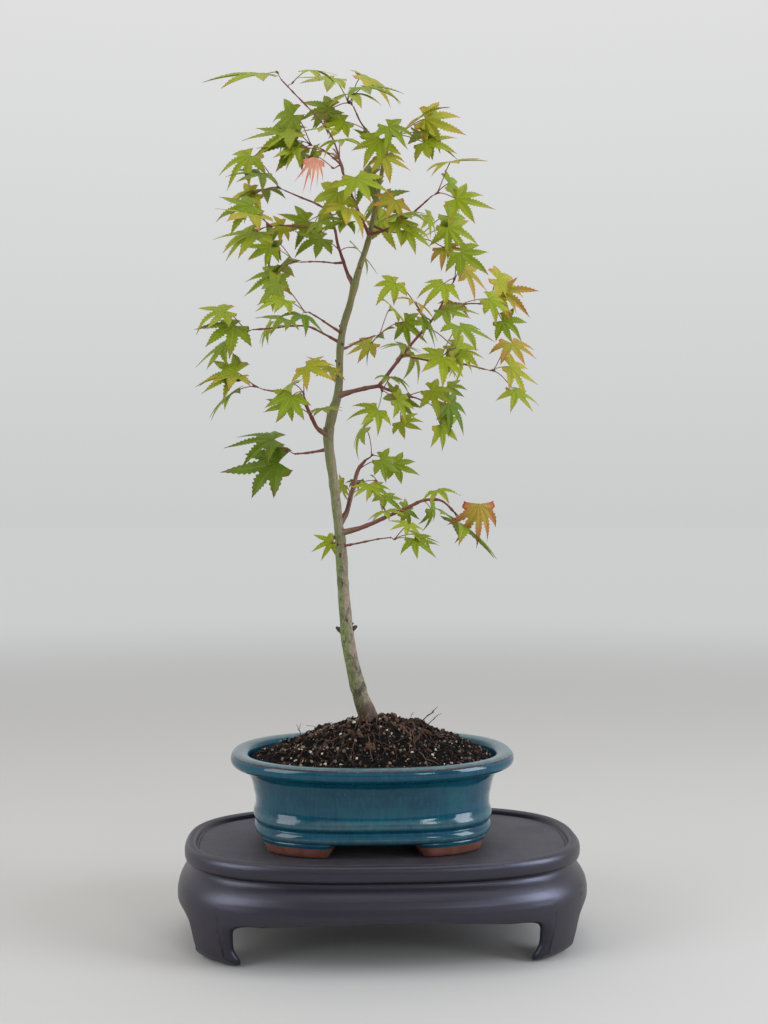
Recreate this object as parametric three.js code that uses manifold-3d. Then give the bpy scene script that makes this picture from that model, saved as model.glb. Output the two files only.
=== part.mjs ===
// A young Japanese maple grown as a bonsai in an oval glazed pot, on an oval display stand.
// Millimetres, +Z up, the front of the tree faces -Y. The origin is the centre of the stand's underside.
import * as THREE from "three";
import { mergeVertices } from "three/addons/utils/BufferGeometryUtils.js";
import Module from "manifold-3d";

const wasm = await Module();
wasm.setup();

// ---- Driving dimensions ----
const GAP = 0.3; // clearance between neighbouring solids
const OVAL_STEPS = 32; // facets round the pot and the stand

const STAND = {
  halfLength: 183.2,
  halfWidth: 120.2,
  squareness: 2.7,
  panelZ: 86,
  rimZ: 90,
  waistZ: 73,
  apronZ: 44,
  wall: 11,
};
const STAND_LEG = { centreAngle: 37, footHalfAngle: 13.5, cornerHalfAngle: 24, cornerHeight: 11 };

const POT = { x: -9, halfLength: 127, halfWidth: 101.5, squareness: 2.5, height: 81, footHeight: 11, floor: 18 };
const POT_FOOT = { centreAngle: 47, halfAngle: 26, outer: 102, inner: 85 };

const SOIL = { crownZ: 194, crownRadius: 25, edgeZ: 160 };

const COLOURS = {
  bark: 0x7d7f4c,
  bough: 0x7b4b3a,
  leaf: 0x8dab3f,
  glaze: 0x1d6172,
  clay: 0x33303a,
  soil: 0x3b2b22,
};

// Trunk stations from the flat cut at the soil to the tip: x, y, z, diameter.
const TRUNK_STATIONS = [
  [-12.8, 0, SOIL.crownZ, 20],
  [-14.5, -1, 199, 16.5],
  [-18.3, -2, 210, 14.8],
  [-25.5, -3, 237, 12.8],
  [-30.9, -2, 264, 12],
  [-35.0, 1, 309, 10.3],
  [-37.0, 3, 346, 10.3],
  [-40.0, 3, 373, 8.8],
  [-44.0, 0, 409, 8.6],
  [-48.5, -3, 445, 9.2],
  [-44.2, -3, 472, 8.7],
  [-40.5, 0, 484, 7.7],
  [-38.3, 3, 513, 6.7],
  [-36.9, 3, 540, 6.5],
  [-32.7, 1, 554, 6.1],
  [-25.6, -1, 582, 6.8],
  [-20.6, 0, 600, 5.2],
  [-12.2, 2, 627, 4.9],
  [-7.0, 3, 653, 4.1],
  [-1.5, 1, 680, 3.8],
  [4.0, 0, 708, 3.4],
  [7.5, -1, 719, 2.6],
];
const TRUNK_SIDES = 9;
const BOUGH_SIDES = 6;
const ROOT_LOBES = 5; // buttresses of the root flare
const FLARE_HEIGHT = 14;

// Each bough: its diameters at root and tip, the mass of leaves it enters, then the points it passes.
const BOUGHS = {
  foot_arm: [6, 2.6, "foot_tip", [-33, 2, 361], [-14, -9, 368], [17, -22, 382], [46, -26, 392]],
  foot_riser: [6, 4, "low_middle", [-36, 4, 366], [-27, 15, 398], [-20, 25, 421]],
  foot_twig: [2.6, 1.8, "foot_front", [-35.5, 2, 349], [-14, -17, 354], [-6, -27, 356]],
  left_low: [5.6, 3.4, "left_inner_low", [-49, -3, 446], [-57, -9, 453], [-69, -35, 475]],
  left_low_arm: [3.4, 2, "left_tip", [-69, -35, 475], [-88, -34, 483], [-97, -30, 486]],
  left_back: [4, 2.4, "left_bottom", [-47, -2, 437], [-62, 20, 435], [-72, 29, 434]],
  right_mid: [6, 4.6, null, [-40, 0, 484], [-24, -9, 489], [-4, -20, 492]],
  right_riser: [4.4, 2.6, "right_top", [-4, -20, 492], [16, -29, 518], [31, -35, 536], [45, -40, 552]],
  right_low_arm: [3.2, 2.2, "low_right", [-4, -20, 492], [16, -4, 486], [30, 14, 485]],
  right_wing_arm: [3, 2, "right_tip", [17, -29.5, 519], [37, -44, 512], [62, -40, 511]],
  right_upper_arm: [2.6, 1.8, "right_upper_tip", [45, -40, 552], [62, -22, 562], [78, -6, 568]],
  centre_back: [3, 2, "centre_back", [-38, 3, 525], [-22, 28, 537], [-14, 42, 542]],
  left_mid: [3, 2, "left_mid", [-37, 3, 541], [-52, -17, 549], [-60, -30, 552]],
  left_mid_arm: [3, 2, "left_mid_tip", [-37.5, 3, 532], [-66, 8, 548], [-85, 5, 548], [-100, -2, 545]],
  left_leader: [5, 2.4, "upper_left_low", [-26, -1, 580], [-34, 8, 605], [-41, 18, 629], [-47, 28, 656]],
  left_shoulder: [2.4, 1.8, "left_shoulder", [-44, 22, 641], [-62, 6, 637], [-76, -8, 635]],
  left_inner_arm: [2.4, 1.8, "left_inner", [-34, 8, 605], [-52, 29, 611], [-62, 38, 613]],
  left_whip: [4, 1.8, "crown_left", [-11.5, 2, 629], [-20, -10, 645], [-36, -21, 681], [-46, -24, 712]],
  upper_left_arm: [2.2, 1.6, "upper_left", [-38, -22, 688], [-47, -13, 698], [-53, -5, 705]],
  right_shoulder: [3.6, 2.2, "right_shoulder", [-11, 2, 631], [11, -8, 637], [28, -18, 648]],
  right_shoulder_low: [2.4, 1.8, "right_shoulder_low", [-9.5, 2, 640], [6, 8, 635], [16, 13, 635]],
  top_shoot: [3, 1.8, "crown_top", [3.5, 0, 706], [-14, 5, 727], [-22, 8, 738]],
};
const TIP_DEPTH = 0.72; // where a bough's tip stops in its mass, as a share of the way from centre to surface
const BOUGH_STEP = 18; // millimetres between the rings of a bough

// Each mass of leaves: its centre, its half length, half depth and half height, and its droop in degrees.
const FOLIAGE = {
  crown_left: [[-98, -20, 771], [53, 30, 13], 8],
  crown_top: [[-31, 12, 765], [44, 36, 24], 4],
  top_right: [[35, -9, 722], [39, 33, 22], 10],
  top_middle: [[-2, -16, 702], [22, 26, 24], 0],
  upper_left: [[-75, 15, 720], [38, 36, 24], 12],
  upper_left_low: [[-107, 47, 690], [45, 38, 20], 12],
  heart_front: [[-30, -36, 646], [31, 30, 26], 10],
  heart_back: [[-4, 34, 668], [31, 38, 27], 10],
  right_shoulder: [[57, -36, 671], [31, 34, 28], 14],
  right_shoulder_low: [[55, 32, 634], [41, 36, 22], 14],
  left_shoulder: [[-115, -30, 634], [39, 34, 19], 10],
  left_inner: [[-95, 62, 616], [38, 36, 24], 10],
  left_mid: [[-77, -62, 557], [39, 34, 20], 12],
  left_mid_tip: [[-138, -15, 540], [34, 38, 24], 14],
  centre: [[17, -52, 560], [35, 32, 27], 8],
  centre_back: [[12, 74, 554], [40, 40, 28], 10],
  right_top: [[61, -48, 587], [30, 30, 18], 8],
  right_upper_tip: [[110, 14, 571], [27, 34, 26], 16],
  right_wing: [[56, -68, 518], [29, 28, 20], 10],
  right_tip: [[114, -20, 502], [39, 38, 32], 18],
  low_centre: [[2, -43, 477], [33, 34, 25], 8],
  low_right: [[60, 50, 477], [36, 38, 26], 12],
  low_middle: [[-4, 50, 440], [38, 36, 26], 10],
  left_tip: [[-130, -20, 492], [39, 36, 22], 12],
  left_inner_low: [[-72, -64, 486], [31, 30, 26], 10],
  left_bottom: [[-104, 46, 433], [42, 34, 20], 8],
  foot_back: [[-3, 33, 397], [37, 31, 16], 6],
  foot_front: [[22, -54, 360], [37, 30, 15], 8],
  foot_tip: [[79, -25, 368], [27, 28, 29], 20],
};
const FINE_MASS_LENGTH = 40; // a mass with a half length from here on is divided more finely
const LUMP = 0.15; // how far a mass swells and sinks, as a share of its size
const WIDE_MASS = 1.6; // clearance factor: a mass stays this many gaps from the next mass

// ---- Solids and booleans ----

/** The manifold solid of a closed geometry, from its positions alone. */
function solidOf(geometry) {
  const bare = new THREE.BufferGeometry().setAttribute("position", geometry.getAttribute("position"));
  if (geometry.index) bare.setIndex(geometry.index);
  const merged = mergeVertices(bare, 1e-3);
  return new wasm.Manifold(
    new wasm.Mesh({
      numProp: 3,
      vertProperties: merged.getAttribute("position").array,
      triVerts: new Uint32Array(merged.index.array),
    }),
  );
}

/** The largest separate body of a solid, so a cut leaves no crumbs. */
function largestBody(solid) {
  return solid.decompose().reduce((best, body) => (body.volume() > best.volume() ? body : best));
}

/** A three.js geometry of a manifold solid. */
function geometryOf(solid) {
  const mesh = solid.getMesh();
  return new THREE.BufferGeometry()
    .setAttribute("position", new THREE.BufferAttribute(new Float32Array(mesh.vertProperties), 3))
    .setIndex(new THREE.BufferAttribute(new Uint32Array(mesh.triVerts), 1));
}

/** Whether the boxes of two solids meet. */
function boxesMeet(a, b) {
  const [boxA, boxB] = [a.boundingBox(), b.boundingBox()];
  return [0, 1, 2].every((axis) => boxA.min[axis] < boxB.max[axis] && boxB.min[axis] < boxA.max[axis]);
}

/** The solid with every cutter that reaches its box taken away, as one body. */
function cutBy(solid, cutters) {
  const near = cutters.filter((cutter) => boxesMeet(solid, cutter));
  return largestBody(near.reduce((rest, cutter) => rest.subtract(cutter), solid));
}

// ---- Oval turned work: pot, soil, stand ----

/**
 * Squeezes a round form to an oval whose walls keep their thickness all round. A squareness of 2 gives
 * an ellipse; above 2 the oval fills out towards its four corners.
 */
function squeezeToOval(geometry, { halfLength, halfWidth, squareness = 2 }) {
  const position = geometry.getAttribute("position");
  const innerLimit = halfLength * 0.3;
  const filled = (share) => Math.sign(share) * Math.abs(share) ** (2 / squareness);
  for (let i = 0; i < position.count; i += 1) {
    const [x, y] = [position.getX(i), position.getY(i)];
    const length = Math.hypot(x, y);
    const radius = Math.max(length, innerLimit);
    const across = Math.max(radius - halfLength + halfWidth, 0) / radius;
    if (length > 0) position.setXY(i, length * filled(x / length), length * across * filled(y / length));
  }
  return geometry;
}

/** An oval body turned from a profile of [half length, height] points. */
function ovalLathe(profile, oval) {
  const outline = profile.map(([radius, z]) => new THREE.Vector2(radius, z));
  const turned = new THREE.LatheGeometry(outline, OVAL_STEPS).rotateX(Math.PI / 2);
  return squeezeToOval(turned, oval);
}

/**
 * A block curved along an oval wall, such as a foot: each level gives the height, the inner and outer
 * half lengths, and half the angle that the block spans there.
 */
function curvedBlock(levels, centreAngle, oval, steps = 4) {
  const centre = THREE.MathUtils.degToRad(centreAngle);
  const points = [];
  for (const { z, inner, outer, halfAngle } of levels) {
    const half = THREE.MathUtils.degToRad(halfAngle);
    for (const radius of [outer, inner]) {
      for (let step = 0; step <= steps; step += 1) {
        const angle = centre + half * ((2 * step) / steps - 1) * (radius === outer ? 1 : -1);
        points.push(radius * Math.cos(angle), radius * Math.sin(angle), z);
      }
    }
  }
  const ring = 2 * (steps + 1);
  const faces = [];
  for (let level = 0; level < levels.length - 1; level += 1) {
    for (let k = 0; k < ring; k += 1) {
      const [a, b] = [level * ring + k, level * ring + ((k + 1) % ring)];
      faces.push(a, b, b + ring, a, b + ring, a + ring);
    }
  }
  const top = (levels.length - 1) * ring;
  for (let step = 0; step < steps; step += 1) {
    const [outerA, outerB] = [step, step + 1];
    const [innerA, innerB] = [ring - 1 - step, ring - 2 - step];
    faces.push(outerA, innerA, outerB, outerB, innerA, innerB);
    faces.push(top + outerA, top + outerB, top + innerA, top + outerB, top + innerB, top + innerA);
  }
  const block = new THREE.BufferGeometry()
    .setAttribute("position", new THREE.BufferAttribute(new Float32Array(points), 3))
    .setIndex(faces);
  return squeezeToOval(block, oval);
}

/** The stand's top: a thick plate on a waist, with a rounded rim round a sunken panel. */
function standTop() {
  const { panelZ, rimZ, waistZ } = STAND;
  return ovalLathe(
    [
      [0, waistZ],
      [171.5, waistZ],
      [173, waistZ + 2],
      [176, waistZ + 5],
      [176, rimZ - 4],
      [172.5, rimZ],
      [168.5, rimZ],
      [166, panelZ],
      [0, panelZ],
    ],
    STAND,
  );
}

/** The stand's apron: a bulging band below the waist. */
function standApron() {
  const { halfLength, waistZ, apronZ, wall } = STAND;
  return ovalLathe(
    [
      [halfLength - wall, apronZ],
      [halfLength, apronZ],
      [halfLength - 1.5, apronZ + 8],
      [171.5, waistZ],
      [171.5 - wall, waistZ],
      [halfLength - wall, apronZ],
    ],
    STAND,
  );
}

/** One leg of the stand: it widens into the apron at its corners and curls in to its foot. */
function standLeg(centreAngle) {
  const { halfLength, apronZ, wall } = STAND;
  const { footHalfAngle, cornerHalfAngle, cornerHeight } = STAND_LEG;
  const level = (z, outer, thickness, halfAngle) => ({ z, outer, inner: outer - thickness, halfAngle });
  return curvedBlock(
    [
      level(0, 170, 12, footHalfAngle - 1.5),
      level(4, 174.5, 17, footHalfAngle),
      level(18, 178, 16, footHalfAngle - 1),
      level(apronZ - cornerHeight, halfLength, wall, footHalfAngle + 2.5),
      level(apronZ - cornerHeight / 3, halfLength, wall, (footHalfAngle + cornerHalfAngle) / 2),
      level(apronZ, halfLength, wall, cornerHalfAngle),
    ],
    centreAngle,
    STAND,
  );
}

/** The four corners of an oval, as angles from +X. */
function cornerAngles(angle) {
  return [angle, 180 - angle, 180 + angle, 360 - angle];
}

/** The pot: four feet, a bead above the foot, a wall that flares to a thick rolled lip, and an open top. */
function pot() {
  const { height, footHeight, floor } = POT;
  const shell = ovalLathe(
    [
      [0, footHeight],
      [100, footHeight],
      [106.5, 19],
      [106.5, 25],
      [104.5, 34],
      [107, 48],
      [112, 66],
      [126, 68],
      [127, 76],
      [121, height],
      [112.5, height - 1],
      [110.5, 76],
      [104, 38],
      [98, floor],
      [0, floor],
    ],
    POT,
  );
  const feet = cornerAngles(POT_FOOT.centreAngle).map((angle) => {
    const { outer, inner, halfAngle } = POT_FOOT;
    return solidOf(
      curvedBlock(
        [
          { z: 0, outer: outer - 1, inner, halfAngle: halfAngle - 3 },
          { z: footHeight + 1, outer, inner, halfAngle },
        ],
        angle,
        POT,
      ),
    );
  });
  return geometryOf(feet.reduce((body, foot) => body.add(foot), solidOf(shell)));
}

/** The soil that fills the pot, heaped to a flat crown under the trunk. */
function soil() {
  const base = STAND.panelZ;
  const { crownZ, crownRadius, edgeZ } = SOIL;
  return ovalLathe(
    [
      [0, base + POT.floor],
      [98 - GAP, base + POT.floor],
      [104 - GAP, base + 38],
      [110.2 - 2 * GAP, edgeZ],
      [88, 172],
      [52, 185],
      [crownRadius, crownZ],
      [0, crownZ],
    ],
    POT,
  );
}

// ---- The tree ----

/** A smooth tapering limb through stations of point and diameter; grow widens it and lengthens its ends. */
function limb(stations, { sides, step, lobes = 0, grow = 0 }) {
  const path = stations.map(([x, y, z]) => new THREE.Vector3(x, y, z));
  const curve = new THREE.CatmullRomCurve3(path, false, "centripetal");
  const rings = Math.max(3, Math.ceil(curve.getLength() / step));
  const frames = curve.computeFrenetFrames(rings, false);
  const points = [];
  const faces = [];
  for (let ring = 0; ring <= rings; ring += 1) {
    const share = ring / rings;
    const along = curve.getUtoTmapping(share) * (stations.length - 1);
    const first = Math.min(Math.floor(along), stations.length - 2);
    const diameter = THREE.MathUtils.lerp(stations[first][3], stations[first + 1][3], along - first);
    const end = ring === 0 ? -grow : ring === rings ? grow : 0;
    const centre = curve.getPointAt(share).addScaledVector(frames.tangents[ring], end);
    const lift = centre.z - stations[0][2];
    for (let side = 0; side < sides; side += 1) {
      const angle = (side / sides) * 2 * Math.PI;
      const lobe = lobes ? 1 + 0.14 * Math.cos(lobes * angle) * Math.max(0, 1 - lift / FLARE_HEIGHT) : 1;
      const reach = (diameter / 2) * lobe + grow;
      const level = lobes && ring === 0;
      const spoke = level
        ? new THREE.Vector3(Math.cos(angle), Math.sin(angle), 0).multiplyScalar(reach)
        : frames.normals[ring]
            .clone()
            .multiplyScalar(Math.cos(angle) * reach)
            .addScaledVector(frames.binormals[ring], Math.sin(angle) * reach);
      points.push(...centre.clone().add(spoke).toArray());
    }
  }
  for (let ring = 0; ring < rings; ring += 1) {
    for (let side = 0; side < sides; side += 1) {
      const [a, b] = [ring * sides + side, ring * sides + ((side + 1) % sides)];
      faces.push(a, b, b + sides, a, b + sides, a + sides);
    }
  }
  const last = rings * sides;
  for (let side = 1; side < sides - 1; side += 1) {
    faces.push(0, side + 1, side, last, last + side, last + side + 1);
  }
  return solidOf(
    new THREE.BufferGeometry()
      .setAttribute("position", new THREE.BufferAttribute(new Float32Array(points), 3))
      .setIndex(faces),
  );
}

/** Where a bough coming from a point stops inside a mass of leaves. */
function tipInMass([centre, halfSizes], from) {
  const offset = from.map((value, axis) => value - centre[axis]);
  const distance = Math.hypot(...offset.map((value, axis) => value / halfSizes[axis]));
  return offset.map((value, axis) => centre[axis] + (value * TIP_DEPTH) / distance);
}

/** Stations of a bough, with its diameter falling evenly from root to tip. */
function boughStations([rootDiameter, tipDiameter, mass, ...path]) {
  const points = mass ? [...path, tipInMass(FOLIAGE[mass], path.at(-1))] : path;
  return points.map((point, i) => [
    ...point,
    THREE.MathUtils.lerp(rootDiameter, tipDiameter, i / (points.length - 1)),
  ]);
}

/** A mass of leaves: an uneven closed pad that droops away from the trunk; grow swells it on all sides. */
function foliage([centre, halfSizes, droop], seed, grow = 0) {
  const ball = new THREE.IcosahedronGeometry(1, halfSizes[0] < FINE_MASS_LENGTH ? 1 : 2);
  const position = ball.getAttribute("position");
  const size = new THREE.Vector3(...halfSizes).addScalar(grow);
  const outward = Math.atan2(centre[1], centre[0] + 30);
  const axis = new THREE.Vector3(-Math.sin(outward), Math.cos(outward), 0);
  const point = new THREE.Vector3();
  for (let i = 0; i < position.count; i += 1) {
    point.fromBufferAttribute(position, i);
    const lump =
      Math.sin(2.6 * point.x + 1.7 * seed) * Math.cos(2.9 * point.y - 2.3 * seed) +
      0.5 * Math.sin(4.3 * point.z + 3.1 * point.x + seed);
    point.multiplyScalar(1 - LUMP / 3 + (LUMP * lump) / 1.5).multiply(size);
    point.applyAxisAngle(axis, THREE.MathUtils.degToRad(droop)).add(new THREE.Vector3(...centre));
    position.setXYZ(i, ...point.toArray());
  }
  return solidOf(ball);
}

// ---- Assembly ----

const tree = new THREE.Group();

/** Adds one named mesh of a geometry to the group. */
function addPart(group, name, geometry, colour, roughness) {
  const material = new THREE.MeshStandardMaterial({ color: colour, roughness, metalness: 0 });
  const mesh = new THREE.Mesh(geometry, material);
  mesh.name = name;
  group.add(mesh);
  return mesh;
}

addPart(tree, "stand_top", standTop(), COLOURS.clay, 0.5);
addPart(tree, "stand_apron", standApron(), COLOURS.clay, 0.5);
cornerAngles(STAND_LEG.centreAngle).forEach((angle, i) => {
  addPart(tree, `stand_leg_${i + 1}`, standLeg(angle), COLOURS.clay, 0.5);
});
addPart(tree, "pot", pot(), COLOURS.glaze, 0.15).position.set(POT.x, 0, STAND.panelZ);
addPart(tree, "soil", soil(), COLOURS.soil, 0.95).position.set(POT.x, 0, 0);

const trunkShape = { sides: TRUNK_SIDES, step: 20, lobes: ROOT_LOBES };
const limbClearances = [limb(TRUNK_STATIONS, { ...trunkShape, grow: GAP })];
addPart(tree, "trunk", geometryOf(limb(TRUNK_STATIONS, trunkShape)), COLOURS.bark, 0.8);

for (const [name, sizes] of Object.entries(BOUGHS)) {
  const shape = { sides: BOUGH_SIDES, step: BOUGH_STEP };
  const bough = cutBy(limb(boughStations(sizes), shape), limbClearances);
  limbClearances.push(limb(boughStations(sizes), { ...shape, grow: GAP }));
  addPart(tree, `bough_${name}`, geometryOf(bough), COLOURS.bough, 0.7);
}

const massClearances = [];
Object.entries(FOLIAGE).forEach(([name, sizes], seed) => {
  const mass = cutBy(foliage(sizes, seed), [...limbClearances, ...massClearances]);
  massClearances.push(foliage(sizes, seed, GAP * WIDE_MASS));
  addPart(tree, `foliage_${name}`, geometryOf(mass), COLOURS.leaf, 0.7);
});

export default tree;
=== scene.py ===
import math

import bpy
import numpy as np
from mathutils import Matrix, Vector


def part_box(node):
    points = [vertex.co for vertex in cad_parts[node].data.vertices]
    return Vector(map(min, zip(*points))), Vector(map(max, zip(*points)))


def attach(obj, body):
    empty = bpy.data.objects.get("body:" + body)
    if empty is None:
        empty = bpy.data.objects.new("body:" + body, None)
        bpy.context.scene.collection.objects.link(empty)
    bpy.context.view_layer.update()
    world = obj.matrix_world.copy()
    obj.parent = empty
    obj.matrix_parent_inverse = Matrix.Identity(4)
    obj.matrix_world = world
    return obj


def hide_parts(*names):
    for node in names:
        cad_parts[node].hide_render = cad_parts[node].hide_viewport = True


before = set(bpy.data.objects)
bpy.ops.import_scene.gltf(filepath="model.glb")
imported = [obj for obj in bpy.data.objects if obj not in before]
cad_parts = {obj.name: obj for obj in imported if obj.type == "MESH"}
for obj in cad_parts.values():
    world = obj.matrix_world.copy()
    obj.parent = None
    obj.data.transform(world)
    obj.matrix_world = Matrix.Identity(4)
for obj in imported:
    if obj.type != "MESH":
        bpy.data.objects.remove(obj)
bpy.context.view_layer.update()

# ---------------------------------------------------------------------------------------------
# Display stand. One cast piece of dark purple-brown clay, burnished to a satin and left unglazed:
# a squared oval, with a panel sunk inside a rolled rim, a waist groove under it, and a bulging apron
# that is cut into four curled legs. All shapes here are worked out in millimetres.
# ---------------------------------------------------------------------------------------------

MM = 0.001
WALL = 11.0
PANEL_UNDERSIDE = 76.0
STAND_COLUMNS = 560
SQUARENESS = 2.7  # 2 would be an ellipse; more fills out the four corners
OVAL_CORE = 0.3  # inside this share of its half length, an oval shrinks evenly to its middle
LEG_CENTRES = (35.5, 144.5, 215.5, 324.5)  # degrees round the oval
LEG_HALF_ANGLE = 25.5  # from a leg's middle to where the lower edge of the apron starts
EDGE_HEIGHT = 38.5  # height of the apron's lower edge there; it arches up between the legs
TOE = (10.2, 2.9, 5.8)  # degrees from a leg's middle to its toe, then half width and half height
LEG_SIDE = ((11.4, 15), (11.6, 20))  # degrees from the leg's middle, and heights, above the toe
CORNER = (13.5, 25.5)  # degrees that the opening's round corner takes up, and where it starts
ROUNDING = 0.8  # power of the corner's sine and cosine; below 1 fills it out past a circle
ARCH_RISE = 0.07  # the arch between two legs rises by this, times its half angle to ARCH_POWER
ARCH_POWER = 1.3
ARC_PER_DEGREE = 2.1  # millimetres of outline for each degree, at the legs
STEADY_POWER = 2.2  # columns rise straight from the cut edge before they spread out evenly
EDGE_ROLL = 5.0  # how far the rounding of the cut edge reaches into the outer face
LEG_ROLL = 9.0  # the same along the legs, where the edge is softer
INNER_ROWS = 12
ROLL_ROWS = 11
OUTER_ROWS = 24

# Half length of the oval at each height of the outer face, from the feet to the waist.
STAND_FACE = np.array([
    (0, 169.5), (3, 172.6), (8, 175.2), (18, 177.9), (28, 179.9), (38, 181.3), (45, 181.9),
    (51, 181.9), (57, 180.6), (61.5, 178.3), (65, 175.4), (68, 172.2), (70.5, 170.0), (73, 169.2),
])
# Half length of the oval and height, from the waist over the band and the rolled rim to the panel.
STAND_TOP = np.array([
    (169.2, 73.0), (170.0, 74.4), (172.6, 75.2), (175.0, 76.6), (175.8, 79.0), (176.0, 82.0),
    (175.9, 84.6), (175.3, 87.0), (174.0, 88.7), (172.2, 89.7), (170.0, 90.0), (168.0, 89.6),
    (166.6, 88.5), (165.7, 86.9), (165.1, 85.3), (164.4, 84.6), (163.5, 84.8), (162.7, 85.7),
    (161.5, 86.0), (156.0, 86.0), (140.0, 86.0), (118.0, 86.0), (92.0, 86.0), (62.0, 86.0), (30.0, 86.0),
])


def box_mm(name):
    """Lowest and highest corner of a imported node, in millimetres."""
    low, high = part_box(name)
    return np.array(low) / MM, np.array(high) / MM


def oval(radius, angle, half_length, half_width, squareness=2.0):
    """A point of an oval: the radius times the cosine along it, and across it that radius, less the
    difference between the two half axes, times the sine, so that a wall is as thick all round. The
    cosine and the sine are raised to the power 2 / squareness, which fills out the corners."""
    core = OVAL_CORE * half_length
    across = np.where(
        radius > core,
        radius - half_length + half_width,
        radius * (core - half_length + half_width) / core,
    )
    along, aside = (
        np.sign(part) * np.abs(part) ** (2 / squareness) for part in (np.cos(angle), np.sin(angle))
    )
    return radius * along, across * aside


def smooth_curve(stations, count):
    """Cubic curve through the stations, with each slope the chord between a station's neighbours,
    as `count` rows spread evenly along it. Columns after the third are carried along."""
    reach = np.concatenate([[0], np.cumsum(np.linalg.norm(np.diff(stations[:, :3], axis=0), axis=1))])
    slope = np.gradient(stations, reach, axis=0)
    at = np.linspace(0, reach[-1], count)
    k = np.clip(np.searchsorted(reach, at, "right") - 1, 0, len(reach) - 2)
    span = (reach[k + 1] - reach[k])[:, None]
    f = (at - reach[k])[:, None] / span
    return (
        stations[k] * (2 * f**3 - 3 * f**2 + 1) + stations[k + 1] * (3 * f**2 - 2 * f**3)
        + slope[k] * span * (f**3 - 2 * f**2 + f) + slope[k + 1] * span * (f**3 - f**2)
    )


def grid_quads(rows, columns, closed=True):
    """Quads between the neighbouring points of a grid; closed joins the last column to the first."""
    index = np.arange(rows * columns).reshape(rows, columns)
    if closed:
        index = np.concatenate([index, index[:, :1]], axis=1)
    corners = [index[:-1, :-1], index[:-1, 1:], index[1:, 1:], index[1:, :-1]]
    return np.stack(corners, axis=-1).reshape(-1, 4)


def fan(ring, centre):
    """Triangles from the points of a closed ring to one centre point."""
    return np.stack([ring, np.roll(ring, -1), np.full(len(ring), centre)], axis=-1)


def mesh_piece(name, shape, materials, nodes):
    """One piece from its shape: points in millimetres, arrays of faces, each array with one number
    of corners, and the number of each face's material where there are several. The piece rides on
    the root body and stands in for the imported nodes."""
    points, faces, *shades = shape
    mesh = bpy.data.meshes.new(name)
    corners = np.concatenate([part.ravel() for part in faces])
    counts = np.concatenate([np.full(len(part), part.shape[1]) for part in faces])
    mesh.vertices.add(len(points))
    mesh.vertices.foreach_set("co", (points * MM).astype("f4").ravel())
    mesh.loops.add(len(corners))
    mesh.loops.foreach_set("vertex_index", corners.astype("i4"))
    mesh.polygons.add(len(counts))
    mesh.polygons.foreach_set("loop_start", (np.cumsum(counts) - counts).astype("i4"))
    for material in materials:
        mesh.materials.append(material)
    if shades:
        mesh.polygons.foreach_set("material_index", np.concatenate(shades[0]).astype("i4"))
    mesh.update(calc_edges=True)
    mesh.validate()
    mesh.shade_smooth()
    piece = bpy.data.objects.new(name, mesh)
    bpy.context.scene.collection.objects.link(piece)
    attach(piece, "root")
    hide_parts(*nodes)
    return piece


def shader_material(name, **values):
    """A Principled material with these values set on the sockets of its shader."""
    made = bpy.data.materials.new(name)
    made.use_nodes = True
    for socket, value in values.items():
        made.node_tree.nodes["Principled BSDF"].inputs[socket.replace("_", " ")].default_value = value
    return made


def add_node(material, kind, inputs=(), **settings):
    """Adds a shader node to a material; inputs holds a value or another node's output by socket."""
    tree = material.node_tree
    made = tree.nodes.new("ShaderNode" + kind)
    for key, value in settings.items():
        setattr(made, key, value)
    for socket, value in dict(inputs).items():
        if isinstance(value, bpy.types.NodeSocket):
            tree.links.new(value, made.inputs[socket])
        else:
            made.inputs[socket].default_value = value
    return made


def place_of(material, scale=(1, 1, 1)):
    """The piece's own Object coordinates in millimetres, scaled along each axis."""
    coordinates = add_node(material, "TexCoord").outputs["Object"]
    size = [part / MM for part in scale]
    return add_node(material, "Mapping", {"Vector": coordinates, "Scale": size}).outputs[0]


def noise(material, place, size, detail=4.0, rough=0.55, warp=0.0):
    """Cloudy noise whose blobs are about `size` millimetres across."""
    settings = {"Vector": place, "Scale": 1 / size, "Detail": detail, "Roughness": rough, "Distortion": warp}
    return add_node(material, "TexNoise", settings).outputs["Fac"]


def dots(material, place, apart):
    """Distance to the nearest of many random dots that lie about `apart` millimetres apart."""
    settings = {"Vector": place, "Scale": 1 / apart}
    return add_node(material, "TexVoronoi", settings, feature="F1").outputs["Distance"]


def ramp(material, value, *stops):
    """A colour ramp; each stop is a place from 0 to 1 and a colour, or one number for a grey."""
    made = add_node(material, "ValToRGB", {"Fac": value})
    band = made.color_ramp
    while len(band.elements) < len(stops):
        band.elements.new(0.5)
    for element, (at, colour) in zip(band.elements, stops):
        element.position = at
        element.color = (*colour, 1) if isinstance(colour, tuple) else (colour, colour, colour, 1)
    return made.outputs["Color"]


def blend(material, factor, first, second, mode="MIX"):
    """Two colours mixed by a factor."""
    made = add_node(material, "Mix", data_type="RGBA", blend_type=mode)
    tree = material.node_tree
    for socket, value in ((made.inputs[0], factor), (made.inputs[6], first), (made.inputs[7], second)):
        if isinstance(value, bpy.types.NodeSocket):
            tree.links.new(value, socket)
        else:
            socket.default_value = (*value, 1) if isinstance(value, tuple) else value
    return made.outputs[2]


def arithmetic(material, operation, first, second):
    """One sum, product or other arithmetic step on two numbers."""
    return add_node(material, "Math", {0: first, 1: second}, operation=operation).outputs[0]


def times(material, first, second):
    """The product of two numbers."""
    return arithmetic(material, "MULTIPLY", first, second)


def normal_part(material, axis):
    """How far the surface faces along one axis, from -1 to 1."""
    normal = add_node(material, "NewGeometry").outputs["Normal"]
    return add_node(material, "SeparateXYZ", {0: normal}).outputs[axis]


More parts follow.
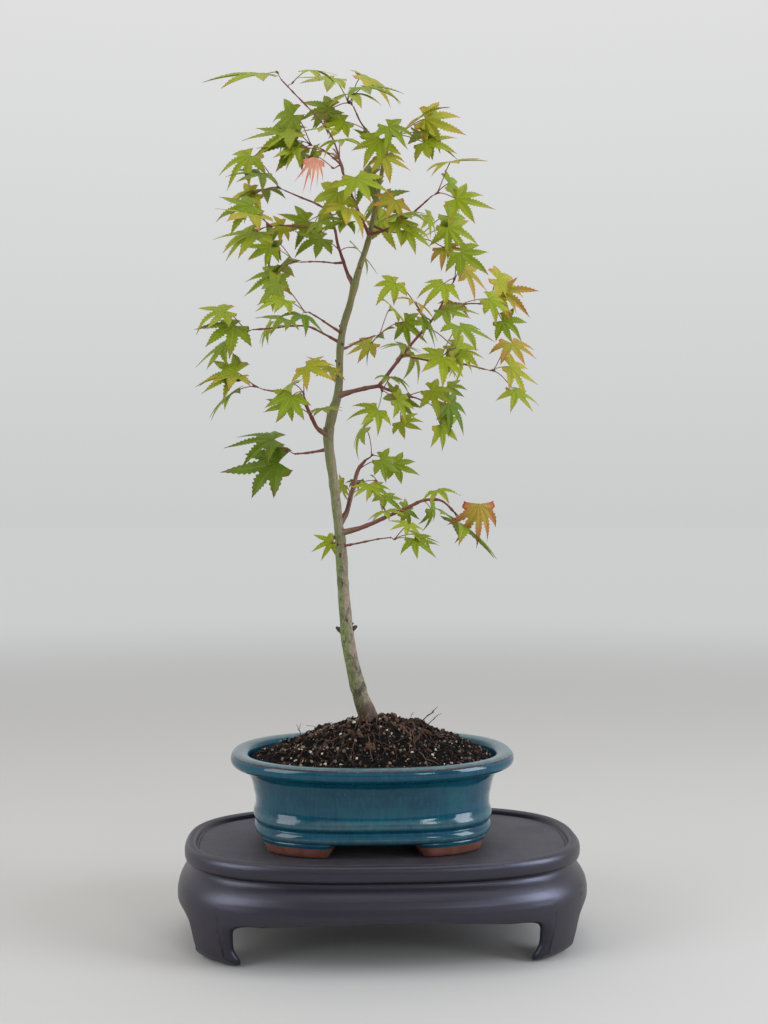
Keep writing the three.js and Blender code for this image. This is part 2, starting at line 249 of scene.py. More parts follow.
def finish_with(material, colour=None, roughness=None, height=None, relief=0.3, strength=1.0):
    """Links the worked-out colour, roughness and relief (in millimetres) to the shader."""
    shader = material.node_tree.nodes["Principled BSDF"]
    links = material.node_tree.links
    if colour is not None:
        links.new(colour, shader.inputs["Base Color"])
    if roughness is not None:
        links.new(roughness, shader.inputs["Roughness"])
    if height is not None:
        bump = add_node(material, "Bump", {"Height": height, "Distance": relief * MM, "Strength": strength})
        links.new(bump.outputs[0], shader.inputs["Normal"])
    return material


def stand_outline():
    """The lower edge of apron and legs, as degrees round the oval and heights. Half a leg runs from
    the middle of its flat foot round a small toe, up its side and round the corner of the opening;
    it is mirrored and repeated at each leg, and flat arches join the legs."""
    toe = np.radians(np.linspace(-90, 40, 9))
    corner = np.radians(np.linspace(0, 90, 12))
    half = np.concatenate([
        [(0, 0)],
        np.stack([TOE[0] + TOE[1] * np.cos(toe), TOE[2] + TOE[2] * np.sin(toe)], axis=-1),
        LEG_SIDE,
        np.stack([
            LEG_HALF_ANGLE - CORNER[0] * np.cos(corner) ** ROUNDING,
            CORNER[1] + (EDGE_HEIGHT - CORNER[1]) * np.sin(corner) ** ROUNDING,
        ], axis=-1),
    ])
    left = half[:0:-1] * (-1, 1)
    across = np.linspace(-1, 1, 15)[1:-1]
    pieces = []
    for centre, following in zip(LEG_CENTRES, [*LEG_CENTRES[1:], LEG_CENTRES[0] + 360]):
        gap = (following - centre) / 2 - LEG_HALF_ANGLE
        rise = ARCH_RISE * gap**ARCH_POWER * (1 - np.abs(across) ** ARCH_POWER)
        arch = np.stack([(centre + following) / 2 + gap * across, EDGE_HEIGHT + rise], axis=-1)
        pieces += [np.concatenate([left, half]) + (centre, 0), arch]
    whole = np.concatenate(pieces)
    whole = np.concatenate([whole, whole[:1] + (360, 0)])
    steps = np.hypot(np.diff(whole[:, 0]) * ARC_PER_DEGREE, np.diff(whole[:, 1]))
    reach = np.concatenate([[0], np.cumsum(steps)])
    at = np.linspace(0, reach[-1], STAND_COLUMNS, endpoint=False)
    return np.interp(at, reach, whole[:, 0]), np.interp(at, reach, whole[:, 1])


def smooth_round(values, width):
    """Values on a closed ring, each replaced by a bell-weighted mean of its neighbours."""
    bell = np.hanning(width + 2)[1:-1]
    around = np.concatenate([values[-width:], values, values[:width]])
    return np.convolve(around, bell / bell.sum(), "same")[width:-width]


def stand_shell():
    """The whole stand as one closed shell: rows run from the underside of the panel down the inner
    wall, round the rolled cut edge, up the outer face, over the band and rim, and across the panel."""
    half_length, half_width = box_mm("stand_apron")[1][:2]
    edge_angle, edge_height = stand_outline()
    steady = np.arange(STAND_COLUMNS) * 360 / STAND_COLUMNS + edge_angle[0]
    top_angle = steady + smooth_round(edge_angle - steady, STAND_COLUMNS // 5)

    run = np.stack([np.gradient(edge_angle) * ARC_PER_DEGREE, np.gradient(edge_height)])
    run[:, [0, -1]] = run[:, [1, -2]]
    inward = np.stack([smooth_round(-run[1], 15), smooth_round(run[0], 15)])
    inward /= np.linalg.norm(inward, axis=0)
    on_leg = smooth_round(np.clip((EDGE_HEIGHT - 3 - edge_height) / 16, 0, 1), 31)
    roll = EDGE_ROLL + (LEG_ROLL - EDGE_ROLL) * on_leg

    def at_offset(share):
        """Angle and height where the outline is moved into the wall by this share of the roll."""
        return (
            edge_angle + inward[0] * roll * share / ARC_PER_DEGREE,
            edge_height + inward[1] * roll * share,
        )

    def face(height):
        """Half length of the outer face at a height."""
        return np.interp(height, STAND_FACE[:, 0], STAND_FACE[:, 1])

    rows = []
    inner_angle, inner_height = at_offset(1.0)
    for f in np.linspace(0, 1, INNER_ROWS, endpoint=False):
        height = PANEL_UNDERSIDE + (inner_height - PANEL_UNDERSIDE) * f
        angle = inner_angle + (top_angle - inner_angle) * (1 - f) ** STEADY_POWER
        rows.append((face(np.minimum(height, 70)) - WALL, angle, height))
    for turn in np.linspace(math.pi, 0, ROLL_ROWS):
        angle, height = at_offset(1 - math.sin(turn))
        rows.append((face(height) - WALL / 2 * (1 - math.cos(turn)), angle, height))
    for f in np.linspace(0, 1, OUTER_ROWS)[1:]:
        height = inner_height + (STAND_TOP[0, 1] - inner_height) * f
        rows.append((face(height), inner_angle + (top_angle - inner_angle) * f**STEADY_POWER, height))
    for radius, height in STAND_TOP[1:]:
        rows.append((np.full(STAND_COLUMNS, radius), top_angle, np.full(STAND_COLUMNS, height)))

    radius, angle, height = (np.array(part) for part in zip(*rows))
    x, y = oval(radius, np.radians(angle), half_length, half_width, SQUARENESS)
    points = np.stack([x, y, height], axis=-1).reshape(-1, 3)
    under, over = len(points), len(points) + 1
    points = np.concatenate([points, [(0, 0, PANEL_UNDERSIDE), (0, 0, STAND_TOP[-1, 1])]])
    first = np.arange(STAND_COLUMNS)
    last = first + (len(rows) - 1) * STAND_COLUMNS
    return points, [grid_quads(len(rows), STAND_COLUMNS), fan(first[::-1], under), fan(last, over)]


def stand_clay():
    """Burnished clay: faint turning lines, a fine grain, and dust and pale scuffs on level faces."""
    made = shader_material("stand_clay", Specular_IOR_Level=0.85, Specular_Tint=(0.76, 0.76, 1.0, 1))
    place = place_of(made)
    lines = noise(made, place_of(made, (0.06, 0.06, 1.6)), 1.0, 3)
    grain = noise(made, place, 0.9, 5, 0.65)
    clouds = noise(made, place, 38, 3)
    body = ramp(made, clouds, (0.3, (0.0070, 0.0046, 0.0050)), (0.7, (0.0110, 0.0074, 0.0076)))
    body = blend(made, ramp(made, grain, (0.45, 0.0), (0.8, 0.35)), body, (0.022, 0.017, 0.019))
    level = ramp(made, normal_part(made, "Z"), (0.90, 0.0), (0.995, 1.0))
    film = ramp(made, noise(made, place, 24, 5, 0.7, 0.4), (0.35, 0.25), (0.7, 0.75))
    dust = blend(made, arithmetic(made, "MULTIPLY", level, film), body, (0.062, 0.056, 0.054))
    scuff_place = place_of(made, (0.09, 0.6, 1))
    scuffs = ramp(made, noise(made, scuff_place, 1.0, 2, 0.5, 1.2), (0.72, 0.0), (0.76, 0.5))
    specks = ramp(made, dots(made, place, 7), (0.06, 1.0), (0.10, 0.0))
    marks = times(made, level, arithmetic(made, "MAXIMUM", scuffs, specks))
    colour = blend(made, marks, dust, (0.14, 0.13, 0.12))
    rough = ramp(made, grain, (0.2, 0.30), (0.8, 0.42))
    rough = blend(made, level, rough, (0.62, 0.62, 0.62))
    height = arithmetic(made, "ADD", arithmetic(made, "MULTIPLY", lines, 0.5), grain)
    return finish_with(made, colour, rough, height, relief=0.12, strength=0.8)


stand_nodes = ["stand_top", "stand_apron"] + [f"stand_leg_{k}" for k in range(1, 5)]
mesh_piece("display_stand", stand_shell(), [stand_clay()], stand_nodes)

# ---------------------------------------------------------------------------------------------
# Pot. An oval stoneware bonsai pot, thrown and pressed oval, with a heavy rolled lip and two beads
# round its foot, under a glossy teal glaze that breaks brown on the lip's edge. It stands on four
# unglazed red clay feet.
# ---------------------------------------------------------------------------------------------

POT_COLUMNS = 224
POT_FOOT_CENTRES = (50.0, 130.0, 230.0, 310.0)
POT_FOOT_HALF_ANGLE = 28.0
POT_SQUARENESS = (3.0, 2.3)  # of the plan at the foot, and under the lip
PLAN_CHANGE = (15.0, 65.0)  # heights over the feet between which the plan goes from one to the other
ROWS_PER_STATION = 3  # rows of points for each station of the profile
FOOT_COLUMNS = 26

# Half length and height over the foot: underside, wall with its two beads, lip, inner wall, floor.
POT_PROFILE = np.array([
    (30, 11.8), (62, 11.8), (88, 11.8), (98, 11.9), (102.3, 12.2), (104.2, 13.2), (105.3, 15.0),
    (105.7, 17.0), (105.4, 19.0), (104.5, 20.8), (103.8, 22.0), (104.3, 23.2), (105.5, 24.6),
    (106.3, 26.6), (106.4, 28.8), (105.9, 31.2), (105.1, 33.6), (104.7, 36.4), (104.8, 40.0),
    (105.4, 45.0), (106.5, 50.0), (108.0, 55.0), (109.8, 59.6), (111.8, 63.4), (113.6, 65.6),
    (116.0, 66.9), (119.5, 67.7), (123.0, 68.8), (125.6, 70.6), (126.9, 73.2), (127.0, 75.6),
    (126.3, 77.9), (124.8, 79.7), (122.6, 80.8), (119.8, 81.0), (116.6, 80.7), (113.8, 79.9),
    (111.8, 78.6), (110.8, 76.4), (110.3, 72.0), (109.3, 64.0), (107.2, 52.0), (104.0, 40.0),
    (99.5, 28.0), (95.0, 21.0), (89.0, 18.3), (70, 18), (35, 18),
])
# How much the glaze has run thin at each of those stations: a little on the two beads, and more over
# the top of the lip.
GLAZE_THIN = np.zeros(len(POT_PROFILE))
GLAZE_THIN[[6, 7, 13, 14, 15]] = 0.35
GLAZE_THIN[[32, 36]] = 0.55
GLAZE_THIN[[33, 34, 35]] = 0.5
PROFILE_LIP_EDGE = 31.6  # station of the brown break line
LIP_LINE_WIDTH = 0.45  # how many stations it takes to fade
PROFILE_FOOT_EDGE = 3.6  # station where the glaze ends over the bare underside

# Half length and height of a foot's section, from its inner side over the ground to the wall.
FOOT_SECTION = np.array([
    (85.0, 13.4), (85.0, 8.0), (85.2, 2.0), (86.2, 0.3), (91.0, 0.0), (97.4, 0.0), (99.2, 0.5),
    (100.6, 2.0), (101.7, 4.6), (102.6, 7.6), (103.1, 9.0), (103.6, 10.8), (104.0, 13.0),
])
FOOT_HEIGHT = 13.0
FOOT_TAPER = 4.6  # degrees that each end of a foot stands in at the ground
FOOT_ROUNDING = 4.0  # how far its faces curve in at its ends
FOOT_WEAR = 0.45  # depth of the chips and dents near the ground
GLAZED_STATIONS = (10, 11)  # stations of the section that the wall's glaze has run down over

pot_low, pot_high = box_mm("pot")
pot_centre = (pot_low + pot_high) / 2
pot_half = (pot_high - pot_low) / 2


def lumps(points, size, seed, waves=26):
    """A smooth random field from about -1 to 1: the sum of sine waves in random directions, each
    about `size` millimetres long."""
    draw = np.random.default_rng(seed)
    heading = draw.normal(size=(waves, 3))
    heading *= (2 * math.pi / size * draw.uniform(0.6, 1.7, waves) / np.linalg.norm(heading, axis=1))[:, None]
    return np.sin(points @ heading.T + draw.uniform(0, 2 * math.pi, waves)).sum(-1) / math.sqrt(waves)


def pot_plan(height):
    """How square the pot's plan is at a height over its feet: squarer at the foot than at the lip."""
    return np.interp(height, PLAN_CHANGE, POT_SQUARENESS)


def oval_lathe(profile, half, centre, base, columns):
    """An oval turned body: each row of the profile (half length, height) becomes an oval ring, and a
    centre point closes the first ring and the last."""
    angle = np.linspace(0, 2 * math.pi, columns, endpoint=False)
    x, y = oval(profile[:, :1], angle[None, :], half[0], half[1], pot_plan(profile[:, 1:2]))
    z = np.repeat(profile[:, 1:2], columns, axis=1)
    points = np.stack([x + centre[0], y + centre[1], z + base], axis=-1).reshape(-1, 3)
    middle = [(centre[0], centre[1], base + profile[row, 1]) for row in (0, -1)]
    first = np.arange(columns)
    last = first + (len(profile) - 1) * columns
    faces = [
        grid_quads(len(profile), columns),
        fan(first[::-1], len(points)),
        fan(last, len(points) + 1),
    ]
    return np.concatenate([points, middle]), faces


def point_value(material, name):
    """The number that a piece carries at each of its points under this name."""
    return add_node(material, "Attribute", attribute_name=name, attribute_type="GEOMETRY").outputs["Fac"]


def set_point_values(piece, name, values):
    """Gives a piece such a number at each of its points."""
    made = piece.data.attributes.new(name, "FLOAT", "POINT")
    made.data.foreach_set("value", values.astype("f4"))


def teal_glaze():
    """Thick glossy glaze: teal clouded with blue, fine streaks where it ran down the wall, a greener
    bloom where it is `thin` on the lip and beads, brown where it is `broken`, and pinholes."""
    made = shader_material("teal_glaze", Specular_IOR_Level=0.42, IOR=1.5)
    place = place_of(made)
    thin = point_value(made, "thin")
    clouds = noise(made, place, 30, 4, 0.6, 0.5)
    body = ramp(
        made, clouds,
        (0.30, (0.0006, 0.038, 0.072)), (0.52, (0.0008, 0.054, 0.094)), (0.75, (0.002, 0.080, 0.108)),
    )
    runs = noise(made, place_of(made, (0.42, 0.42, 0.035)), 1.0, 5, 0.7)
    body = blend(made, ramp(made, runs, (0.45, 0.0), (0.75, 0.5)), body, (0.008, 0.110, 0.138))
    curd = noise(made, place, 1.5, 3, 0.7)
    body = blend(made, ramp(made, curd, (0.5, 0.0), (0.8, 0.5)), body, (0.0008, 0.030, 0.060))
    mottle = ramp(made, noise(made, place, 6, 4), (0.25, 0.4), (0.7, 1.5))
    body = blend(made, times(made, thin, mottle), body, (0.085, 0.150, 0.150))
    ragged = ramp(made, noise(made, place, 4, 4, 0.6), (0.3, 0.55), (0.6, 1.35))
    broken = times(made, point_value(made, "broken"), ragged)
    body = blend(made, ramp(made, broken, (0.35, 0.0), (0.85, 1.0)), body, (0.040, 0.020, 0.017))
    pinholes = dots(made, place, 11)
    body = blend(made, ramp(made, pinholes, (0.025, 0.8), (0.05, 0.0)), body, (0.10, 0.16, 0.15))
    rough = ramp(made, curd, (0.3, 0.04), (0.8, 0.11))
    rough = blend(made, thin, rough, (0.24, 0.24, 0.24))
    wave = arithmetic(made, "ADD", noise(made, place, 9, 2), arithmetic(made, "MULTIPLY", runs, 0.3))
    return finish_with(made, body, rough, wave, relief=0.35, strength=0.5)


# A smooth curve joins the stations; its rows are spread evenly between one station and the next.
stations = np.linspace(0, len(POT_PROFILE) - 1, (len(POT_PROFILE) - 1) * ROWS_PER_STATION + 1)
with_glaze = np.column_stack([POT_PROFILE, np.zeros(len(POT_PROFILE)), GLAZE_THIN])
curve = smooth_curve(with_glaze, 4 * len(stations))
share = np.linspace(0, 1, len(curve))
knots = np.concatenate([[0], np.cumsum(np.linalg.norm(np.diff(POT_PROFILE, axis=0), axis=1))])
place_on = np.interp(stations, np.arange(len(POT_PROFILE)), knots / knots[-1])
rows = np.stack([np.interp(place_on, share, curve[:, k]) for k in (0, 1, 3)], axis=-1)
pot_shape = oval_lathe(rows[:, :2], pot_half, pot_centre, pot_low[2], POT_COLUMNS)
glaze = teal_glaze()
pot_body = mesh_piece("pot_body", pot_shape, [glaze], ["pot"])

lip_line = np.exp(-(((stations - PROFILE_LIP_EDGE) / LIP_LINE_WIDTH) ** 2))
bare = np.clip(PROFILE_FOOT_EDGE + 0.5 - stations, 0, 1)
for label, by_row, underside in (("thin", rows[:, 2], 0.0), ("broken", np.maximum(lip_line, bare), 1.0)):
    set_point_values(pot_body, label, np.concatenate([np.repeat(by_row, POT_COLUMNS), [underside, 0.0]]))


def pot_foot(centre_angle):
    """One foot: its section (half length and height) swept along the oval under the pot's edge. It
    spans less at the ground than at the wall, and its upright edges are rounded and chipped."""
    along = np.linspace(-1, 1, FOOT_COLUMNS)[:, None]
    reach, height = FOOT_SECTION.T[:, None]
    near_end = np.clip((np.abs(along) - 0.84) / 0.16, 0, 1)
    outer = np.sign(reach - 95)
    rounding = FOOT_ROUNDING * (1 - np.sqrt(1 - near_end**2 * 0.98)) * outer
    angle = np.radians(centre_angle + along * (POT_FOOT_HALF_ANGLE - FOOT_TAPER * (1 - height / FOOT_HEIGHT)))
    x, y = oval(reach - rounding, angle, pot_half[0], pot_half[1], pot_plan(height))
    points = np.stack([x, y, height + np.zeros_like(x)], axis=-1)
    worn = np.clip((9 - height) / 3, 0, 1)[..., None]
    points = points + worn * FOOT_WEAR * lumps(points, 8, 31)[..., None] * np.array([0.7, 0.7, 0.0])
    count = len(FOOT_SECTION)
    ring = np.arange(count)
    ends = np.stack([ring, ring[::-1] + (FOOT_COLUMNS - 1) * count])
    shades = [np.tile(np.isin(ring, GLAZED_STATIONS), FOOT_COLUMNS - 1).astype(int), 0]
    centre = (pot_centre[0], pot_centre[1], pot_low[2])
    return points.reshape(-1, 3) + centre, [grid_quads(FOOT_COLUMNS, count)[:, ::-1], ends], shades


def merge(parts):
    """Joins several (points, faces, shades) into one, moving the faces' numbers along. Face arrays
    stay apart in the order they came."""
    points, faces, shades, start = [], [], [], 0
    for part in parts:
        points.append(part[0])
        faces += [face + start for face in part[1]]
        given = part[2] if len(part) > 2 else [0] * len(part[1])
        shades += [np.broadcast_to(shade, len(face)) for shade, face in zip(given, part[1])]
        start += len(part[0])
    return np.concatenate(points), faces, shades


def red_clay():
    """Bare fired red clay: sandy, a little scorched, with dark iron specks and chipped corners."""
    made = shader_material("red_clay", Specular_IOR_Level=0.3)
    place = place_of(made)
    sand = noise(made, place, 0.8, 5, 0.7)
    scorch = noise(made, place, 12, 4, 0.6)
    colour = ramp(made, scorch, (0.3, (0.135, 0.045, 0.030)), (0.7, (0.230, 0.085, 0.055)))
    colour = blend(made, ramp(made, sand, (0.55, 0.0), (0.75, 0.6)), colour, (0.07, 0.025, 0.02))
    rough = ramp(made, sand, (0.3, 0.7), (0.8, 0.9))
    return finish_with(made, colour, rough, sand, relief=0.5, strength=0.9)


feet = merge([pot_foot(angle) for angle in POT_FOOT_CENTRES])
mesh_piece("pot_feet", feet, [red_clay(), glaze], ["pot"])

# ---------------------------------------------------------------------------------------------
# Soil. A loose mound of dark potting mix heaped over the rim: humus, grit, pale perlite and flakes
# of bark, held together by fine brown roots that lie over it, with root hairs standing up.
# ---------------------------------------------------------------------------------------------

SOIL_BASE = 152.0  # height of the mound's flat underside, inside the pot
SOIL_SQUARENESS = 2.25
SOIL_RINGS = 60
SOIL_COLUMNS = 230
GRAIN_COUNT = 6600
CHIP_COUNT = 190
CHIP_KINDS = (1, 2, 3, 3)  # rows of GRAIN_KINDS that the larger chips are drawn from
GRAIN_FACES = 20
STEM_FOOT = np.array([-12.8, 0.0])
ROOT_COUNT = 150
ROOT_POINTS = 26  # points along each root's middle line
ROOT_TURN = 0.20  # how much its heading may change from one point to the next, in radians
ROOT_LIMIT = 0.93  # share of the way to the soil's edge that roots keep inside
WOODY_COUNT = 17
WOODY_POINTS = 34
HAIR_POINTS = 10
DEAD_POINTS = 10

# Share of the way out to the edge, and height there.
MOUND = np.array([
    (0, 193.0), (0.15, 192.0), (0.30, 188.4), (0.48, 182.4),
    (0.64, 175.6), (0.78, 168.8), (0.90, 163.4), (1.0, 159.4),
])
MOUND_TILT = 3.6  # how much higher the right side is than the left, halfway out
CLODS = ((1.5, 26, 11), (0.9, 9, 12), (0.5, 4, 13))  # height, size and seed of each size of clod
# Share of the grains, and colour, of each kind: humus, dark earth, peat, bark, grit, perlite, sand.
GRAIN_KINDS = [
    (0.455, (0.0035, 0.0026, 0.0024)), (0.19, (0.0100, 0.0068, 0.0056)), (0.15, (0.036, 0.019, 0.013)),
    (0.06, (0.095, 0.046, 0.030)), (0.06, (0.125, 0.120, 0.115)), (0.030, (0.56, 0.50, 0.40)),
    (0.055, (0.24, 0.175, 0.11)),
]
# Clumps of grains that lie together: middle, spread, count, smallest and largest grain, kind.
CLUMPS = [
    ((-24, -5), 2.6, 8, (1.6, 2.9), 6), ((-13, -53), 3.0, 26, (1.4, 2.6), 3),
    ((-27, -9), 1.5, 3, (2.2, 3.2), 4), ((18, -2), 9.0, 60, (1.3, 3.0), 2),
    ((-60, 4), 8.0, 26, (1.2, 2.6), 2), ((40, 6), 8.0, 40, (1.2, 2.6), 2),
    ((4, -24), 2.0, 5, (3.0, 4.4), 0),
]
# Tufts of root hairs: where each stands, how many hairs it has and how long they are.
HAIR_TUFTS = [
    ((43, -12), 4, 9), ((34, -4), 6, 8), ((-76, -8), 2, 8),
    ((-52, 30), 4, 9), ((-5, -30), 5, 7), ((70, 22), 4, 8),
]
# Dead twigs stuck in the soil: foot, tip, thickness and how many side twigs they carry.
DEAD_TWIGS = [
    ((33, -3, 189), (46, -6, 201), 0.62, 5), ((42, 2, 188), (52, 3, 196), 0.42, 4),
    ((-72, 2, 176), (-78, -1, 189), 0.42, 2), ((25, 6, 190), (28, 5, 198), 0.25, 3),
]

soil_low, soil_high = box_mm("soil")
soil_centre = (soil_low + soil_high) / 2
soil_half = (soil_high - soil_low) / 2


def mound_height(x, y):
    """Height of the soil: the mound's profile by the share of the way out, tilted a little along its
    length and broken up by clods of three sizes that fade towards the rim."""
    along = (x - soil_centre[0]) / soil_half[0]
    out = np.hypot(along, (y - soil_centre[1]) / soil_half[1])
    flat = np.stack([x, y, np.zeros_like(x)], axis=-1)
    rough = sum(height * lumps(flat, size, seed) for height, size, seed in CLODS)
    fade = np.clip((1.04 - out) / 0.25, 0.25, 1)
    return np.interp(out, MOUND[:, 0], MOUND[:, 1]) + MOUND_TILT * along * (1 - out) * 2 + rough * fade


def soil_body():
    """The mound as rings of an oval from its edge up to the crown, closed underneath by a short wall
    and a flat base inside the pot."""
    share = np.concatenate([[1.0, 1.0], np.linspace(1, 0.02, SOIL_RINGS)])
    angle = np.linspace(0, 2 * math.pi, SOIL_COLUMNS, endpoint=False)
    edge_x, edge_y = oval(np.array(soil_half[0]), angle, soil_half[0], soil_half[1], SOIL_SQUARENESS)
    x = soil_centre[0] + share[:, None] * edge_x
    y = soil_centre[1] + share[:, None] * edge_y
    z = mound_height(x, y)
    z[0] = z[1] = SOIL_BASE
    x[:2] = soil_centre[0] + np.array([[0.5], [0.97]]) * edge_x
    y[:2] = soil_centre[1] + np.array([[0.5], [0.97]]) * edge_y
    points = np.stack([x, y, z], axis=-1).reshape(-1, 3)
    rows = len(share)
    ring = np.arange(SOIL_COLUMNS)
    middle = [(soil_centre[0], soil_centre[1], height) for height in (SOIL_BASE, MOUND[0, 1])]
    faces = [
        grid_quads(rows, SOIL_COLUMNS),
        fan(ring[::-1], len(points)),
        fan(ring + (rows - 1) * SOIL_COLUMNS, len(points) + 1),
    ]
    return np.concatenate([points, middle]), faces


def random_turns(draw, count):
    """Rotation matrices drawn evenly, from unit quaternions."""
    w, x, y, z = (q := draw.normal(size=(4, count))) / np.linalg.norm(q, axis=0)
    return np.stack([
        np.stack([1 - 2 * (y * y + z * z), 2 * (x * y - z * w), 2 * (x * z + y * w)], axis=-1),
        np.stack([2 * (x * y + z * w), 1 - 2 * (x * x + z * z), 2 * (y * z - x * w)], axis=-1),
        np.stack([2 * (x * z - y * w), 2 * (y * z + x * w), 1 - 2 * (x * x + y * y)], axis=-1),
    ], axis=1)


def grain_shape():
    """The 12 corners and 20 faces of an icosahedron: three golden rectangles set square to each
    other, and every three corners that are one edge apart."""
    golden = (1 + math.sqrt(5)) / 2
    flat = np.array([(a, b * golden, 0) for a in (-1, 1) for b in (-1, 1)])
    corners = np.concatenate([np.roll(flat, k, axis=1) for k in range(3)]) / math.hypot(1, golden)
    apart = np.linalg.norm(corners[:, None] - corners[None], axis=2)
    near = (apart > 0.1) & (apart < 1.2)
    triples = [(a, b, c) for a in range(12) for b in range(a + 1, 12) for c in range(b + 1, 12)]
    joined = [(a, b, c) for a, b, c in triples if near[a, b] and near[b, c] and near[a, c]]
    faces = [(a, b, c) if np.linalg.det(corners[[a, b, c]]) > 0 else (a, c, b) for a, b, c in joined]
    return corners, np.array(faces)


def scattered_grains(count, size, squash, seed, sunk=0.35, middle=None, spread=0.0):
    """Grains strewn evenly over the mound, or round one middle: copies of the icosahedron with
    jittered corners, each stretched, turned at random and sunk a little into the surface."""
    draw = np.random.default_rng(seed)
    corners, faces = grain_shape()
    angle = draw.uniform(0, 2 * math.pi, count)
    out = np.sqrt(draw.uniform(0, 0.965, count))
    edge_x, edge_y = oval(np.array(soil_half[0]), angle, soil_half[0], soil_half[1], SOIL_SQUARENESS)
    x, y = soil_centre[0] + out * edge_x, soil_centre[1] + out * edge_y
    if middle is not None:
        x, y = (draw.normal(value, spread, count) for value in middle)
    radius = size[0] + (size[1] - size[0]) * draw.uniform(0, 1, count) ** 2.6
    place = np.stack([x, y, mound_height(x, y) + radius * (0.5 - sunk)], axis=-1)
    shape = corners[None] * draw.uniform(0.72, 1.2, (count, len(corners), 1))
    shape = shape * radius[:, None, None] * draw.uniform(squash, 1.0, (count, 1, 3))
    points = np.einsum("nij,nkj->nki", random_turns(draw, count), shape) + place[:, None]
    faces = faces[None] + len(corners) * np.arange(count)[:, None, None]
    return points.reshape(-1, 3), faces.reshape(-1, 3), draw


def tubes(lines, radii, sides=6):
    """Round tubes along many lines at once: at each point of each line a ring stands square to the
    line, and both ends are closed. lines is tubes by points by 3; radii is tubes by points."""
    lines, radii = np.asarray(lines, float), np.asarray(radii, float)
    count, steps = radii.shape
    along = np.gradient(lines, axis=1)
    along /= np.linalg.norm(along, axis=2, keepdims=True) + 1e-9
    mean = np.abs(along.mean(axis=1))
    guide = np.eye(3)[mean.argmin(axis=1)][:, None, :]
    side = np.cross(along, guide)
    side /= np.linalg.norm(side, axis=2, keepdims=True) + 1e-9
    other = np.cross(along, side)
    turn = np.linspace(0, 2 * math.pi, sides, endpoint=False)
    ring = side[:, :, None] * np.cos(turn)[:, None] + other[:, :, None] * np.sin(turn)[:, None]
    points = lines[:, :, None] + ring * radii[:, :, None, None]
    start = np.arange(count)[:, None, None] * steps * sides
    quads = grid_quads(steps, sides)[None] + start
    first = np.arange(sides)
    ends = np.stack([first[::-1], first + (steps - 1) * sides])[None] + start
    return points.reshape(-1, 3), [quads.reshape(-1, 4), ends.reshape(-1, sides)]


def wandering_roots(draw, starts, headings, steps, stride, lift):
    """Lines that creep over the soil: each keeps its heading but for small random turns, and its
    height is the soil's plus a little lift that comes and goes."""
    count = len(starts)
    turn = np.cumsum(draw.normal(0, ROOT_TURN, (count, steps)), axis=1) + headings[:, None]
    x = starts[:, :1] + np.cumsum(np.cos(turn) * stride[:, None], axis=1)
    y = starts[:, 1:] + np.cumsum(np.sin(turn) * stride[:, None], axis=1)
    out = np.hypot((x - soil_centre[0]) / soil_half[0], (y - soil_centre[1]) / soil_half[1])
    keep = np.minimum(1, ROOT_LIMIT / np.maximum(out, 1e-6))
    x = soil_centre[0] + (x - soil_centre[0]) * keep
    y = soil_centre[1] + (y - soil_centre[1]) * keep
    wave = np.sin(np.linspace(0, 1, steps) * draw.uniform(5, 14, (count, 1)) + draw.uniform(0, 6, (count, 1)))
    return np.stack([x, y, mound_height(x, y) + 0.5 + lift * (0.4 + wave)], axis=-1)


def earth(name, colour, rough=0.92):
    """One kind of grain: a plain dull colour."""
    return shader_material(name, Base_Color=(*colour, 1), Roughness=rough, Specular_IOR_Level=0.25)


def humus():
    """The fine damp earth between the grains: nearly black, crumbly, with paler crumbs."""
    made = shader_material("humus", Specular_IOR_Level=0.12)
    place = place_of(made)
    crumbs = noise(made, place, 1.6, 6, 0.75)
    colour = ramp(
        made, crumbs,
        (0.42, (0.0018, 0.0014, 0.0013)), (0.62, (0.008, 0.0055, 0.0045)), (0.76, (0.042, 0.027, 0.020)),
    )
    return finish_with(made, colour, ramp(made, crumbs, (0.3, 0.85), (0.8, 1.0)), crumbs, relief=1.6)


def round_stem(angle, out):
    """Spots this far out from the stem's foot, on an oval a little narrower from front to back."""
    return STEM_FOOT + np.stack([np.cos(angle), 0.8 * np.sin(angle)], axis=-1) * out[:, None]


def standing_hairs(draw, foot, count, length):
    """A tuft of root hairs: lines that rise from one spot of the soil and fan out, each bent over by
    the square of its length, with a shorter branch off its middle."""
    start = np.array([foot[0], foot[1], float(mound_height(np.array(foot[0]), np.array(foot[1]))) - 0.5])
    lean = draw.normal(0, 0.75, (count, 2))
    f = np.linspace(0, 1, HAIR_POINTS)[None, :, None]
    reach = length * draw.uniform(0.4, 1.0, (count, 1, 1))
    flat = lean[:, None] * reach * (0.35 * f + 0.65 * f**2)
    wiggle = 0.5 * np.sin(f * draw.uniform(5, 11, (count, 1, 1)) + draw.uniform(0, 6, (count, 1, 1)))
    rise = reach * (f - 0.25 * f**2)
    lines = start + np.concatenate([flat + wiggle, rise], axis=2)
    lines = lines + draw.normal(0, 1.2, (count, 1, 3)) * (1, 1, 0)
    branches = lines[:, 4:5] + (lines - lines[:, :1]) * (-0.35, 0.4, 0.45)
    return np.concatenate([lines, branches])


